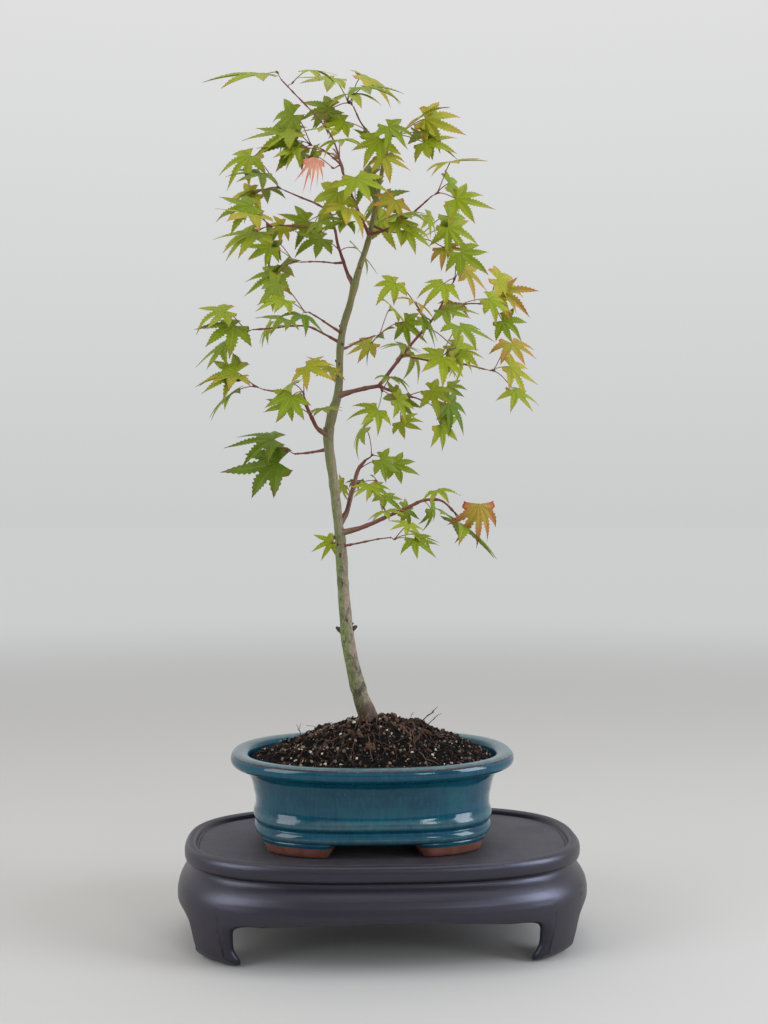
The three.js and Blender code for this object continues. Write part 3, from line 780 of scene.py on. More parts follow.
def dead_twig(draw, foot, tip, thickness, branches):
    """Lines and radii of one dead twig: a kinked main line, and side twigs that leave it by turns
    to left and right and point on towards its tip."""
    foot, tip = np.array(foot, float), np.array(tip, float)
    f = np.linspace(0, 1, DEAD_POINTS)[:, None]
    kinks = np.cumsum(draw.normal(0, 0.22, (DEAD_POINTS, 3)), axis=0)
    main = foot + (tip - foot) * f + kinks * (f > 0)
    lines, radii = [main], [np.linspace(1, 0.4, DEAD_POINTS) * thickness]
    for k in range(branches):
        start = main[4 + 5 * k // branches]
        swing = np.array([0.55, 0.0, 0.45]) * (1 if k % 2 else -0.6) + draw.normal(0, 0.25, 3)
        side = start + ((tip - foot) * 0.30 + np.linalg.norm(tip - foot) * 0.30 * swing) * f
        lines.append(side + np.cumsum(draw.normal(0, 0.15, (DEAD_POINTS, 3)), axis=0) * (f > 0))
        radii.append(np.linspace(0.6, 0.3, DEAD_POINTS) * thickness)
    return lines, radii


mesh_piece("soil_mound", soil_body(), [humus()], ["soil"])

small = scattered_grains(GRAIN_COUNT, (0.55, 2.3), 0.6, 21)
chips = scattered_grains(CHIP_COUNT, (1.8, 4.6), 0.22, 22, sunk=0.2)
shares = np.array([share for share, _ in GRAIN_KINDS])
kind_of_grain = small[2].choice(len(GRAIN_KINDS), GRAIN_COUNT, p=shares / shares.sum())
kind_of_chip = chips[2].choice(CHIP_KINDS, CHIP_COUNT)
grain_parts = [
    (small[0], [small[1]], [np.repeat(kind_of_grain, GRAIN_FACES)]),
    (chips[0], [chips[1]], [np.repeat(kind_of_chip, GRAIN_FACES)]),
]
for seed, (middle, spread, count, size, kind) in enumerate(CLUMPS):
    clump = scattered_grains(count, size, 0.6, 60 + seed, 0.1, middle, spread)
    grain_parts.append((clump[0], [clump[1]], [kind]))
grain_colours = [earth(f"grain_{k}", colour) for k, (_, colour) in enumerate(GRAIN_KINDS)]
grains = mesh_piece("soil_grains", merge(grain_parts), grain_colours, ["soil"])
grains.data.shade_flat()

draw = np.random.default_rng(31)
root_angle = draw.uniform(0, 2 * math.pi, ROOT_COUNT)
root_out = draw.uniform(6, 62, ROOT_COUNT) * np.where(draw.uniform(size=ROOT_COUNT) < 0.75, 1, 1.5)
root_starts = round_stem(root_angle, root_out)
root_heading = root_angle + draw.normal(0, 0.7, ROOT_COUNT)
root_stride = draw.uniform(0.9, 2.3, ROOT_COUNT)
fine_roots = wandering_roots(draw, root_starts, root_heading, ROOT_POINTS, root_stride, 0.7)
fine_radii = draw.uniform(0.22, 0.55, (ROOT_COUNT, 1)) * np.linspace(1, 0.35, ROOT_POINTS)

woody_angle = np.linspace(0, 4 * math.pi, WOODY_COUNT, endpoint=False)
woody_angle = woody_angle + draw.normal(0, 0.2, WOODY_COUNT) - 0.3
woody_angle -= 0.35 * np.sin(2 * woody_angle)
woody_starts = round_stem(woody_angle, draw.uniform(6, 26, WOODY_COUNT))
woody_stride = draw.uniform(1.3, 2.3, WOODY_COUNT)
woody_roots = wandering_roots(draw, woody_starts, woody_angle, WOODY_POINTS, woody_stride, 1.0)
woody_radii = draw.uniform(0.55, 1.15, (WOODY_COUNT, 1)) * np.linspace(1, 0.3, WOODY_POINTS)

dead_lines, dead_radii = [], []
for twig in DEAD_TWIGS:
    lines, radii = dead_twig(draw, *twig)
    dead_lines += lines
    dead_radii += radii
hairs = np.concatenate([standing_hairs(draw, *tuft) for tuft in HAIR_TUFTS])
hair_radii = np.linspace(0.30, 0.14, HAIR_POINTS) * np.ones((len(hairs), 1))
roots = merge([
    (*tubes(fine_roots, fine_radii, 5), [0, 0]),
    (*tubes(woody_roots, woody_radii, 8), [1, 1]),
    (*tubes(hairs, hair_radii, 4), [0, 0]),
    (*tubes(dead_lines, dead_radii, 5), [2, 2]),
])
root_colours = [
    earth("fine_root", (0.066, 0.032, 0.020), 0.7), earth("woody_root", (0.100, 0.054, 0.035), 0.75),
    earth("dead_root", (0.014, 0.009, 0.007), 0.8),
]
mesh_piece("surface_roots", roots, root_colours, ["soil"])

# ---------------------------------------------------------------------------------------------
# Trunk. A slender stem grown from a cutting: smooth olive bark, green with algae on its left side and
# pinkish tan on its right, with dark weathered patches low down, ring scars at its old nodes, two
# dead stubs, and a slight flare where it enters the soil.
# ---------------------------------------------------------------------------------------------

TRUNK_COLUMNS = 56
TRUNK_ROW = 1.5  # length of stem from one row of points to the next
TRUNK_LINK = 9.6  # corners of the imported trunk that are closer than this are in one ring
TRUNK_WIDEST = 7.2  # radius of the stem above its foot
FOOT_SWELL = 1.4  # how much more it may have at the soil, fading out over FOOT_FADE
FOOT_FADE = 9.0
SOIL_TOP = 190.0
TRUNK_TOP = 720.0
FLARE = (0.5, 2.2)  # relief at the soil all round, and more on each lobe
FLARE_HEIGHT = 188.0  # where the flare is full; above, it fades out over FLARE_FADE
FLARE_FADE = 5.0
LOBE_WIDTH = 0.33  # in radians round the foot
RING_WIDTH = 2.4  # of the swelling at a ring scar
SCAR_WIDTH = 0.9  # of the groove in its middle
TRUNK_RINGS = (222, 273, 316, 357, 405, 454, 500, 548, 585, 633, 672, 708)  # heights of the ring scars
ROOT_LOBES = (10, 75, 150, 205, 262, 318)  # degrees round the foot where main roots leave
# Height, degrees round the stem (0 is right, 270 is the front), length and thickness.
STUBS = [
    (272, 172, 6.5, 2.3), (274, 352, 6.0, 2.2), (279, 5, 2.6, 1.2), (357, 200, 3.0, 1.5),
    (342, 255, 2.4, 1.3),
]
# Height and degrees round the stem.
TRUNK_BUDS = [
    (283, 280), (316, 262), (340, 255), (350, 235), (454, 185), (500, 210), (513, 262), (516, 180),
    (531, 300), (548, 190), (585, 205), (600, 280), (633, 230), (672, 320),
]
BUD_LENGTH = 1.9
BUD_RADIUS = 1.0


def corners_of(name):
    """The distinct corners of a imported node, in millimetres."""
    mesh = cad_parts[name].data
    corners = np.empty(3 * len(mesh.vertices))
    mesh.vertices.foreach_get("co", corners)
    return np.unique(np.round(corners.reshape(-1, 3) / MM, 2), axis=0)


def limb_line(name, link):
    """Centre line of a packed limb as rows of x, y, z and radius, thick end first. Corners closer
    than `link` belong to one ring, and each ring gives its middle and its mean distance from it."""
    corners = corners_of(name)
    near = np.linalg.norm(corners[:, None] - corners[None], axis=2) < link
    ring, lower = None, np.arange(len(corners))
    while not np.array_equal(ring, lower):
        ring, lower = lower, np.where(near, lower[None], len(corners)).min(axis=1)
    groups = [corners[ring == k] for k in np.unique(ring)]
    centres = np.array([group.mean(axis=0) for group in groups])
    radii = [np.linalg.norm(group - group.mean(axis=0), axis=1).mean() for group in groups]
    along = np.linalg.svd(centres - centres.mean(axis=0))[2][0]
    line = np.column_stack([centres, radii])[np.argsort(centres @ along)]
    half = len(line) // 2
    return line if line[:half, 3].mean() > line[-half:, 3].mean() else line[::-1]


def limb_grid(line, columns):
    """Rings of columns square to a line: middles, outward directions and angles round it, measured
    from the right where the line stands upright."""
    along = np.gradient(line[:, :3], axis=0)
    along /= np.linalg.norm(along, axis=1, keepdims=True)
    guide = np.eye(3)[1 if abs(along[:, 1]).mean() < 0.8 else 2]
    side = np.cross(guide, along)
    side /= np.linalg.norm(side, axis=1, keepdims=True)
    other = np.cross(along, side)
    angle = np.linspace(0, 2 * math.pi, columns, endpoint=False)
    out = side[:, None] * np.cos(angle)[:, None] + other[:, None] * np.sin(angle)[:, None]
    return line[:, None, :3], out, angle


def limb_mesh(line, columns, extra):
    """A limb's skin: its radius plus the extra relief on each ring point, closed at both ends."""
    middle, out, _ = limb_grid(line, columns)
    radius = line[:, 3:4] + extra
    radius[-1] *= 0.45
    points = (middle + out * radius[:, :, None]).reshape(-1, 3)
    ring = np.arange(columns)
    ends = np.stack([ring[::-1], ring + (len(line) - 1) * columns])
    return points, [grid_quads(len(line), columns), ends]


def bump_at(values, places, width):
    """Sum of bell curves of height 1 at the given places."""
    return sum(np.exp(-(((values - place) / width) ** 2)) for place in places)


def trunk_relief(line):
    """Flare with one lobe to each main root, ring scars, lengthwise folds and a fine grain."""
    middle, out, angle = limb_grid(line, TRUNK_COLUMNS)
    height = line[:, 2:3]
    lobes = sum(
        np.exp(-((np.angle(np.exp(1j * (angle - math.radians(lobe)))) / LOBE_WIDTH) ** 2))
        for lobe in ROOT_LOBES
    )
    low = np.exp(-np.clip(height - FLARE_HEIGHT, 0, None) / FLARE_FADE)
    flare = low * (FLARE[0] + FLARE[1] * lobes)
    tilted = height + 1.2 * np.cos(angle - 1)
    scars = bump_at(tilted, TRUNK_RINGS, RING_WIDTH) * (0.35 + 0.04 * line[:, 3:4])
    scars = scars - 0.4 * bump_at(tilted, TRUNK_RINGS, SCAR_WIDTH)
    skin = middle + out * line[:, 3:4, None]
    folds = lumps(skin * (1, 1, 0.16), 7, 41) * 0.14 + lumps(skin * (1, 1, 0.3), 3.0, 42) * 0.10
    return flare + scars + folds + lumps(skin, 30, 43) * 0.35 * np.clip(line[:, 3:4] / 9, 0, 1)


def spike(place, heading, length, thickness):
    """A short stub or bud: a tube that bulges above its foot and closes to a blunt tip."""
    share = np.array([-0.35, 0.0, 0.3, 0.6, 0.85, 1.0])
    swell = np.array([1.0, 1.05, 1.0, 0.85, 0.6, 0.2])
    lines = np.asarray(place) + np.outer(share * length, heading)
    return tubes(lines[None], (swell * thickness)[None], 7)


def trunk_bark():
    """Young bark by height and side: green algae low and left, tan right, dark weathered blotches and
    specks that thin out upwards, pale lengthwise fissures, olive skin on the leader, and soil dirt at
    the foot."""
    made = shader_material("trunk_bark", Specular_IOR_Level=0.3)
    place = place_of(made)
    height = add_node(made, "SeparateXYZ", {0: place}).outputs["Z"]
    up = add_node(made, "MapRange", {0: height, 1: SOIL_TOP, 2: TRUNK_TOP}).outputs[0]
    long_place = place_of(made, (1, 1, 0.22))
    cloud = noise(made, long_place, 7, 5, 0.65, 0.3)
    side = arithmetic(made, "ADD", times(made, normal_part(made, "X"), 0.38), cloud)
    green = ramp(
        made, up, (0.0, (0.125, 0.125, 0.055)), (0.15, (0.155, 0.200, 0.062)), (0.5, (0.155, 0.165, 0.060)),
        (0.75, (0.165, 0.160, 0.050)), (1.0, (0.150, 0.140, 0.018)),
    )
    tan = ramp(
        made, up, (0.0, (0.170, 0.120, 0.085)), (0.2, (0.330, 0.250, 0.190)), (0.45, (0.240, 0.200, 0.115)),
        (0.8, (0.210, 0.180, 0.070)), (1.0, (0.190, 0.145, 0.040)),
    )
    colour = blend(made, ramp(made, side, (0.38, 0.0), (0.66, 1.0)), green, tan)
    moss_amount = ramp(made, up, (0.015, 0.0), (0.030, 1.0), (0.09, 0.9), (0.14, 0.35), (0.35, 0.0))
    moss = ramp(made, noise(made, place, 5.5, 4, 0.6, 0.5), (0.56, 0.0), (0.62, 1.0))
    colour = blend(made, times(made, moss, moss_amount), colour, (0.185, 0.290, 0.060))
    weather_amount = ramp(made, up, (0.0, 0.95), (0.25, 0.65), (0.45, 0.30), (0.75, 0.12))
    blotch_place = place_of(made, (1, 1, 0.55))
    weather = ramp(made, noise(made, blotch_place, 9, 6, 0.75, 0.8), (0.50, 0.0), (0.62, 1.0))
    colour = blend(made, times(made, weather, weather_amount), colour, (0.042, 0.034, 0.026))
    fissure = noise(made, place_of(made, (1, 1, 0.16)), 1.5, 6, 0.75)
    colour = blend(made, ramp(made, fissure, (0.58, 0.0), (0.75, 0.55)), colour, (0.330, 0.290, 0.205))
    colour = blend(made, ramp(made, fissure, (0.25, 0.6), (0.42, 0.0)), colour, (0.075, 0.070, 0.030))
    dirt = ramp(made, up, (0.0, 0.95), (0.020, 0.75), (0.045, 0.0))
    colour = blend(made, dirt, colour, (0.060, 0.028, 0.018))
    speck = noise(made, blotch_place, 1.9, 5, 0.8, 0.4)
    speck_amount = ramp(made, up, (0.0, 1.0), (0.25, 0.85), (0.6, 0.25), (1.0, 0.1))
    dark_speck = times(made, ramp(made, speck, (0.38, 0.85), (0.46, 0.0)), speck_amount)
    colour = blend(made, dark_speck, colour, (0.058, 0.036, 0.030))
    pale_speck = times(made, ramp(made, speck, (0.56, 0.0), (0.64, 0.55)), speck_amount)
    colour = blend(made, pale_speck, colour, (0.430, 0.360, 0.290))
    rough = ramp(made, cloud, (0.3, 0.62), (0.8, 0.80))
    height = arithmetic(made, "ADD", fissure, times(made, noise(made, place, 1.1, 4, 0.7), 0.4))
    return finish_with(made, colour, rough, height, relief=0.5, strength=0.9)


trunk_rings = limb_line("trunk", TRUNK_LINK)
swell = FOOT_SWELL * np.exp(-(trunk_rings[:, 2] - SOIL_TOP) / FOOT_FADE)
trunk_rings[:, 3] = np.minimum(trunk_rings[:, 3], TRUNK_WIDEST + swell)
trunk_foot = trunk_rings[0] + (trunk_rings[0] - trunk_rings[1]) * (0.9, 0.9, 0.9, 0)
trunk_stations = np.concatenate([[trunk_foot + (0, 0, -8, 0.4)], trunk_rings])
trunk_length = np.linalg.norm(np.diff(trunk_stations[:, :3], axis=0), axis=1).sum()
trunk_line = smooth_curve(trunk_stations, round(trunk_length / TRUNK_ROW))
limbs = {"trunk": trunk_line}


def on_trunk(height, degrees):
    """A spot on the stem's skin and the direction straight out of it."""
    row = trunk_line[np.abs(trunk_line[:, 2] - height).argmin()]
    out = np.array([math.cos(math.radians(degrees)), math.sin(math.radians(degrees)), 0.0])
    return row[:3] + out * row[3], out


trunk_shape = limb_mesh(trunk_line, TRUNK_COLUMNS, trunk_relief(trunk_line))
mesh_piece("trunk_skin", trunk_shape, [trunk_bark()], ["trunk"])

stub_parts = []
for height, degrees, length, thickness in STUBS:
    spot, out = on_trunk(height, degrees)
    stub_parts.append((*spike(spot - out, out * 0.8 + (0, 0, 0.6), length, thickness), [0, 0]))
for height, degrees in TRUNK_BUDS:
    spot, out = on_trunk(height, degrees)
    stub_parts.append((*spike(spot - out * 0.3, out * 0.6 + (0, 0, 0.8), BUD_LENGTH, BUD_RADIUS), [1, 1]))
dead_wood = shader_material("dead_wood", Base_Color=(0.052, 0.036, 0.026, 1), Roughness=0.85)
bud_scale = shader_material("bud_scale", Base_Color=(0.085, 0.028, 0.018, 1), Roughness=0.5)
mesh_piece("stubs_and_buds", merge(stub_parts), [dead_wood, bud_scale], ["trunk"])

# ---------------------------------------------------------------------------------------------
# Boughs. The side limbs, each grown from a bud of the stem or of another bough: reddish brown and
# smooth, swollen at the foot where they join, ringed where each year's growth began.
# ---------------------------------------------------------------------------------------------

BOUGH_COLUMNS = 18
BOUGH_ROW = 1.6
BOUGH_LINK = 4.5
BOUGH_RING_SPACING = 17.0
SLIMMED = (0.60, 0.86)  # share of its packed radius that the thinnest and the thickest limb keeps
OLD_RADIUS = (1.6, 3.2)  # radii at which bark begins to look old, and looks wholly so


def nearest_on(limb_names, place):
    """The limb, and its row, closest to a place."""
    found = [(np.linalg.norm(limbs[name][:, :3] - place, axis=1), name) for name in limb_names]
    distance, name = min(found, key=lambda pair: pair[0].min())
    return name, int(distance.argmin())


def bough_bark():
    """Thin smooth bark: dark red on young wood, olive tan where `age` says that the limb is old and
    thick, clouded and flecked with pale corky dots."""
    made = shader_material("bough_bark", Specular_IOR_Level=0.35)
    place = place_of(made)
    cloud = noise(made, place, 16, 4, 0.6)
    grain = noise(made, place, 1.3, 4, 0.7)
    young = ramp(made, cloud, (0.30, (0.140, 0.030, 0.024)), (0.70, (0.215, 0.066, 0.044)))
    old = ramp(made, cloud, (0.30, (0.150, 0.095, 0.055)), (0.70, (0.215, 0.175, 0.095)))
    colour = blend(made, point_value(made, "age"), young, old)
    colour = blend(made, ramp(made, grain, (0.56, 0.0), (0.74, 0.6)), colour, (0.33, 0.23, 0.165))
    colour = blend(made, ramp(made, grain, (0.26, 0.7), (0.40, 0.0)), colour, (0.050, 0.022, 0.016))
    rough = ramp(made, grain, (0.3, 0.5), (0.8, 0.7))
    return finish_with(made, colour, rough, grain, relief=0.3, strength=0.8)


bough_names = sorted(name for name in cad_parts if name.startswith("bough_"))
bough_rings = {name: limb_line(name, BOUGH_LINK) for name in bough_names}
for name, rings in bough_rings.items():
    rings[:, 3] *= np.clip(0.52 + 0.09 * rings[:, 3], *SLIMMED)
    rows = round(np.linalg.norm(rings[-1, :3] - rings[0, :3]) / BOUGH_ROW)
    limbs[name] = smooth_curve(rings, max(8, rows))
bough_parts = []
for name, rings in bough_rings.items():
    others = [other for other in limbs if other != name and limbs[other][:, 3].max() > 0.9 * rings[0, 3]]
    parent, row = nearest_on(others, rings[0, :3])
    start = limbs[parent][row].copy()
    start[3] = min(start[3] * 0.8, rings[1, 3] * 1.5)
    line = np.concatenate([[start], rings[1:]])
    line[1, 3] = max(line[1, 3], rings[2, 3] * 1.12)
    length = np.linalg.norm(np.diff(line[:, :3], axis=0), axis=1).sum()
    line = smooth_curve(line, round(length / BOUGH_ROW))
    reach = np.linspace(0, length, len(line))[:, None]
    middle, out, _ = limb_grid(line, BOUGH_COLUMNS)
    skin = middle + out * line[:, 3:4, None]
    year_rings = bump_at(reach, np.arange(11, length, BOUGH_RING_SPACING), 1.5)
    relief = lumps(skin * 0.6, 6, 51) * 0.10 + year_rings * 0.28 + np.exp(-reach / 5) * 0.6
    bough_parts.append(limb_mesh(line, BOUGH_COLUMNS, relief))
    limbs[name] = line
bough_skin = mesh_piece("bough_skin", merge(bough_parts), [bough_bark()], bough_names)
bough_radius = np.concatenate([np.repeat(limbs[name][:, 3], BOUGH_COLUMNS) for name in bough_rings])
set_point_values(bough_skin, "age", np.interp(bough_radius, OLD_RADIUS, (0, 1)))

# ---------------------------------------------------------------------------------------------
# Sprays. This year's shoots: thin dark red twigs that grow on from the boughs, one or two to each
# part of the crown, each ending in a few leaves set in opposite pairs on long thin stalks. A
# seeded rule draws every spray; where a spray stands is where the crown has foliage.
# ---------------------------------------------------------------------------------------------

SHOOT_POINTS = 26
STALK_POINTS = 14
STALK_RADIUS = 0.44
STALK_SWELL = 0.22  # how much thicker a stalk is at its two ends
STALK_REACH = (12, 40)  # shortest and longest way from a stalk's foot to its blade
SHOOT_ROOM = (12, 0.42)  # a shoot ends this far, and this share of a blade, short of its spray's middle
PAIR_STEP = 0.30  # share of a shoot between one pair of leaves and the next
PAIR_DIP = 24
SIZE_RANGE = (0.70, 1.04)  # of a blade, as a share of its spray's blade length
SET_BACK = 0.45  # share of a blade that lies between its stalk and its place in the spray
SHARE_INSIDE = 0.80  # how much a blade keeps to that place, and not to a free stalk's end
FREE_STALK = (20, 34)  # length of a free stalk, for blades of the usual length
USUAL_LENGTH = 44
SEED = 7
# The tint deep is a darker copy of the green: painted shade for blades that lie in the crown's shadow, at its
# back and underneath.
TINTS = ("leaf", "lime", "deep", "gold", "amber", "ember", "rose")

# Part of the crown: number of leaves, blade length in millimetres, the way that its blades point in
# degrees round from the right (270 is the front), how far to either side they fan out, how many
# degrees they dip below level, and their tints in turn.
SPRAYS = [
    ("crown_left", 1, 66, 184, 0, 0, "lime"),
    ("crown_top", 5, 46, 275, 100, 16, "leaf lime lime leaf gold"),
    ("top_right", 4, 40, 340, 60, 18, "gold lime gold lime"),
    ("top_middle", 3, 36, 270, 70, 52, "lime gold leaf"),
    ("upper_left", 4, 48, 198, 45, 20, "leaf lime leaf lime"),
    ("upper_left_low", 4, 47, 190, 50, 26, "leaf gold lime leaf"),
    ("heart_front", 4, 42, 240, 70, 38, "lime leaf gold lime"),
    ("heart_back", 3, 42, 90, 80, 28, "lime leaf deep"),
    ("right_shoulder", 3, 38, 335, 60, 20, "gold lime leaf"),
    ("right_shoulder_low", 3, 37, 345, 50, 42, "amber lime leaf"),
    ("left_shoulder", 4, 50, 196, 46, 22, "lime leaf lime gold"),
    ("left_inner", 4, 40, 165, 60, 28, "leaf deep leaf lime"),
    ("left_mid", 3, 42, 215, 70, 24, "leaf lime deep"),
    ("left_mid_tip", 3, 46, 183, 35, 12, "leaf lime leaf"),
    ("centre", 3, 37, 300, 90, 28, "lime amber leaf"),
    ("centre_back", 4, 40, 80, 90, 24, "leaf lime deep gold"),
    ("right_top", 3, 34, 320, 80, 24, "lime leaf amber"),
    ("right_upper_tip", 3, 38, 350, 35, 24, "amber leaf gold"),
    ("right_wing", 3, 34, 310, 90, 26, "lime leaf lime"),
    ("right_tip", 3, 39, 338, 34, 32, "amber lime gold"),
    ("low_centre", 3, 33, 300, 80, 28, "lime leaf lime"),
    ("low_right", 3, 33, 350, 45, 34, "leaf deep lime"),
    ("low_middle", 2, 36, 60, 80, 28, "leaf lime"),
    ("left_tip", 3, 45, 184, 35, 14, "leaf lime gold"),
    ("left_inner_low", 3, 37, 240, 75, 34, "lime leaf gold"),
    ("left_bottom", 2, 56, 184, 8, 12, "deep deep"),
    ("foot_back", 3, 29, 50, 80, 28, "leaf lime leaf"),
    ("foot_front", 3, 29, 320, 60, 22, "lime leaf lime"),
    ("foot_tip", 1, 46, 296, 0, 62, "ember"),
]
# Sprays too small to show as a part of the crown: middle and half size first.
SMALL_SPRAYS = [
    ((-52, 14, 350), (16, 16, 10), 1, 30, 190, 0, 30, "lime"),
    ((-65, -36, 677), (12, 10, 10), 1, 34, 262, 0, 76, "rose"),
    ((-14, -26, 402), (14, 16, 10), 1, 28, 250, 0, 35, "lime"),
    ((8, -30, 640), (14, 14, 10), 2, 28, 300, 50, 50, "amber lime"),
    ((-46, -20, 505), (14, 12, 10), 1, 32, 220, 0, 35, "gold"),
    ((14, -20, 452), (14, 12, 10), 1, 32, 330, 0, 38, "lime"),
    ((74, -18, 361), (14, 12, 2), 1, 68, 338, 0, 38, "leaf"),
    ((20, -34, 622), (14, 12, 10), 1, 32, 345, 0, 25, "lime"),
    ((-66, -20, 772), (16, 12, 5), 1, 36, 352, 0, 14, "lime"),
]
# Pairs of smaller leaves along the boughs: limb, shares of its length, blade length and two tints.
PAIRS = [
    ("left_whip", (0.45, 0.66), 34, "lime leaf"), ("left_leader", (0.30, 0.62), 34, "leaf lime"),
    ("right_riser", (0.30, 0.62), 34, "lime leaf"), ("right_wing_arm", (0.45,), 30, "leaf lime"),
    ("right_low_arm", (0.55,), 32, "leaf lime"), ("right_shoulder", (0.50,), 34, "lime leaf"),
    ("left_mid_arm", (0.55,), 34, "leaf lime"), ("left_low", (0.55,), 30, "lime leaf"),
    ("foot_riser", (0.45, 0.80), 26, "lime leaf"), ("foot_arm", (0.40, 0.72), 27, "leaf lime"),
    ("left_shoulder", (0.45,), 32, "leaf gold"), ("upper_left_arm", (0.5,), 32, "lime leaf"),
    ("right_upper_arm", (0.5,), 32, "amber lime"), ("top_shoot", (0.45,), 32, "lime leaf"),
]


def unit(vector):
    """The vector at length 1."""
    return vector / (np.linalg.norm(vector) + 1e-9)


def bezier(start, first, second, end, count):
    """Cubic curve from start to end, drawn towards the two points between."""
    f = np.linspace(0, 1, count)[:, None]
    return (1 - f) ** 3 * start + 3 * (1 - f) ** 2 * f * first + 3 * (1 - f) * f**2 * second + f**3 * end


def shoot_to(middle, room, draw):
    """The twig that feeds a spray: it leaves the nearest limb at a slant, sweeps out and ends short
    of the spray's middle by the room that the leaf stalks need."""
    name, row = nearest_on(list(limbs), middle)
    line = limbs[name]
    start = line[row, :3]
    row = min(max(row, 1), len(line) - 1)
    run = unit(line[row, :3] - line[row - 1, :3])
    gap = middle - start
    distance = np.linalg.norm(gap)
    length = max(distance - room, 8.0)
    heading = unit(gap) if distance > 6 else unit(run + (0, 0, 0.3))
    end = start + heading * length + draw.normal(0, 1.5, 3)
    early = start + unit(run * 0.8 + heading + draw.normal(0, 0.15, 3)) * length * 0.4
    late = end - unit(heading + (0, 0, 0.25) + draw.normal(0, 0.15, 3)) * length * 0.35
    thick = min(line[row, 3] * 0.75, 0.95 + length * 0.006)
    return bezier(start, early, late, end, SHOOT_POINTS), thick


def blade_frame(round_degrees, dip_degrees, draw, lean=1.0):
    """Unit vectors along a blade's midrib, across it and out of its upper face. Upper faces turn
    up and, by the lean, towards the light at the front."""
    azimuth = math.radians(round_degrees + draw.normal(0, 9))
    dip = math.radians(dip_degrees + draw.normal(0, 9))
    along = np.array([math.cos(azimuth) * math.cos(dip), math.sin(azimuth) * math.cos(dip), -math.sin(dip)])
    light = np.array([0, -lean * draw.uniform(0.4, 2.4), 1.0]) + draw.normal(0, 0.25, 3)
    up = unit(light - along * (light @ along))
    return along, np.cross(up, along), up


def grow_leaf(at, run, base, tint, length, frame_of_blade):
    """A leaf on its stalk, with the bud in its axil. The stalk leaves the twig slanting forwards and
    rises a little before it bends over to the blade."""
    along, across, up = frame_of_blade
    reach = np.linalg.norm(base - at)
    base = at + (base - at) * np.clip(reach, *STALK_REACH) / (reach + 1e-9)
    reach = np.linalg.norm(base - at)
    away = unit(unit(base - at) + (0, 0, 0.35) + 0.4 * run)
    arrive = unit(along * 0.8 + unit(base - at))
    stalk_lines.append(bezier(at, at + away * reach * 0.35, base - arrive * reach * 0.28, base, STALK_POINTS))
    axil_buds.append((at + away * 0.8, unit(away + run)))
    blades.append((tint, length, base, along, across, up))


draw = np.random.default_rng(SEED)
shoot_lines, shoot_radii, stalk_lines, blades, axil_buds = [], [], [], [], []
plan = []
for part, *rest in SPRAYS:
    low, high = box_mm("foliage_" + part)
    plan.append(((low + high) / 2, (high - low) / 2, *rest))
plan += [(np.array(middle, float), np.array(half, float), *rest) for middle, half, *rest in SMALL_SPRAYS]
for middle, half, count, size, toward, fan_out, dip, tints in plan:
    line, thick = shoot_to(middle, SHOOT_ROOM[0] + SHOOT_ROOM[1] * size, draw)
    share = np.linspace(0, 1, SHOOT_POINTS)
    knots = [1.0] + [1 - PAIR_STEP * (pair + 1) for pair in range((count - 1) // 2)]
    swelling = 0.30 * bump_at(share, knots, 0.035) + 0.5 * np.exp(-share / 0.05)
    shoot_lines.append(line)
    shoot_radii.append(thick * (1 - 0.40 * share) + swelling)
    run = unit(line[-1] - line[-4])
    lean = np.clip(2.6 * (half[2] / max(half[0], half[1])) ** 2, 0.55, 1.0)
    sides = np.linspace(-1, 1, count) if count > 1 else np.zeros(1)
    order = np.argsort(np.argsort(np.abs(sides), kind="stable"))
    rise = draw.permutation(np.linspace(-0.75, 0.75, count)) if count > 1 else np.zeros(1)
    for tint, side, rank, level in zip(tints.split(), sides, order, rise):
        length = size * draw.uniform(*SIZE_RANGE)
        blade = blade_frame(toward + fan_out * side, dip, draw, lean)
        at = line[round((SHOOT_POINTS - 1) * knots[min(rank // 2, len(knots) - 1)])]
        flat = unit(blade[0] * (1, 1, 0) + 1e-6)
        outward = half * flat * (0.22 + 0.50 * min(fan_out, 90) / 90) + (0, 0, half[2] * level)
        inside = middle + outward + draw.normal(0, 2.5, 3) - blade[0] * length * SET_BACK
        free = at + unit(flat + (0, 0, 0.5 * level)) * draw.uniform(*FREE_STALK) * size / USUAL_LENGTH
        base = SHARE_INSIDE * inside + (1 - SHARE_INSIDE) * free
        grow_leaf(at, run, base, tint, length, blade)
    axil_buds.append((line[-1], run))

for limb, shares, size, tints in PAIRS:
    line = limbs["bough_" + limb]
    for turn, share in enumerate(shares):
        row = round(share * (len(line) - 2))
        run = unit(line[row + 1, :3] - line[row, :3])
        side = unit(np.cross(run, (0, 0, 1)) + 1e-6)
        for sign, tint in zip((-1, 1), tints.split()):
            way = unit(sign * side * (1.0 if turn % 2 == 0 else 0.5) + 0.7 * run + draw.normal(0, 0.25, 3))
            toward = math.degrees(math.atan2(way[1], way[0]))
            blade = blade_frame(toward, PAIR_DIP, draw)
            at = line[row, :3]
            lift = (0, 0, sign * 0.45 if turn % 2 else 0.15)
            base = at + unit(way * (1, 1, 0.3) + lift) * draw.uniform(20, 31)
            grow_leaf(at, run, base, tint, size * draw.uniform(0.68, 1.0), blade)

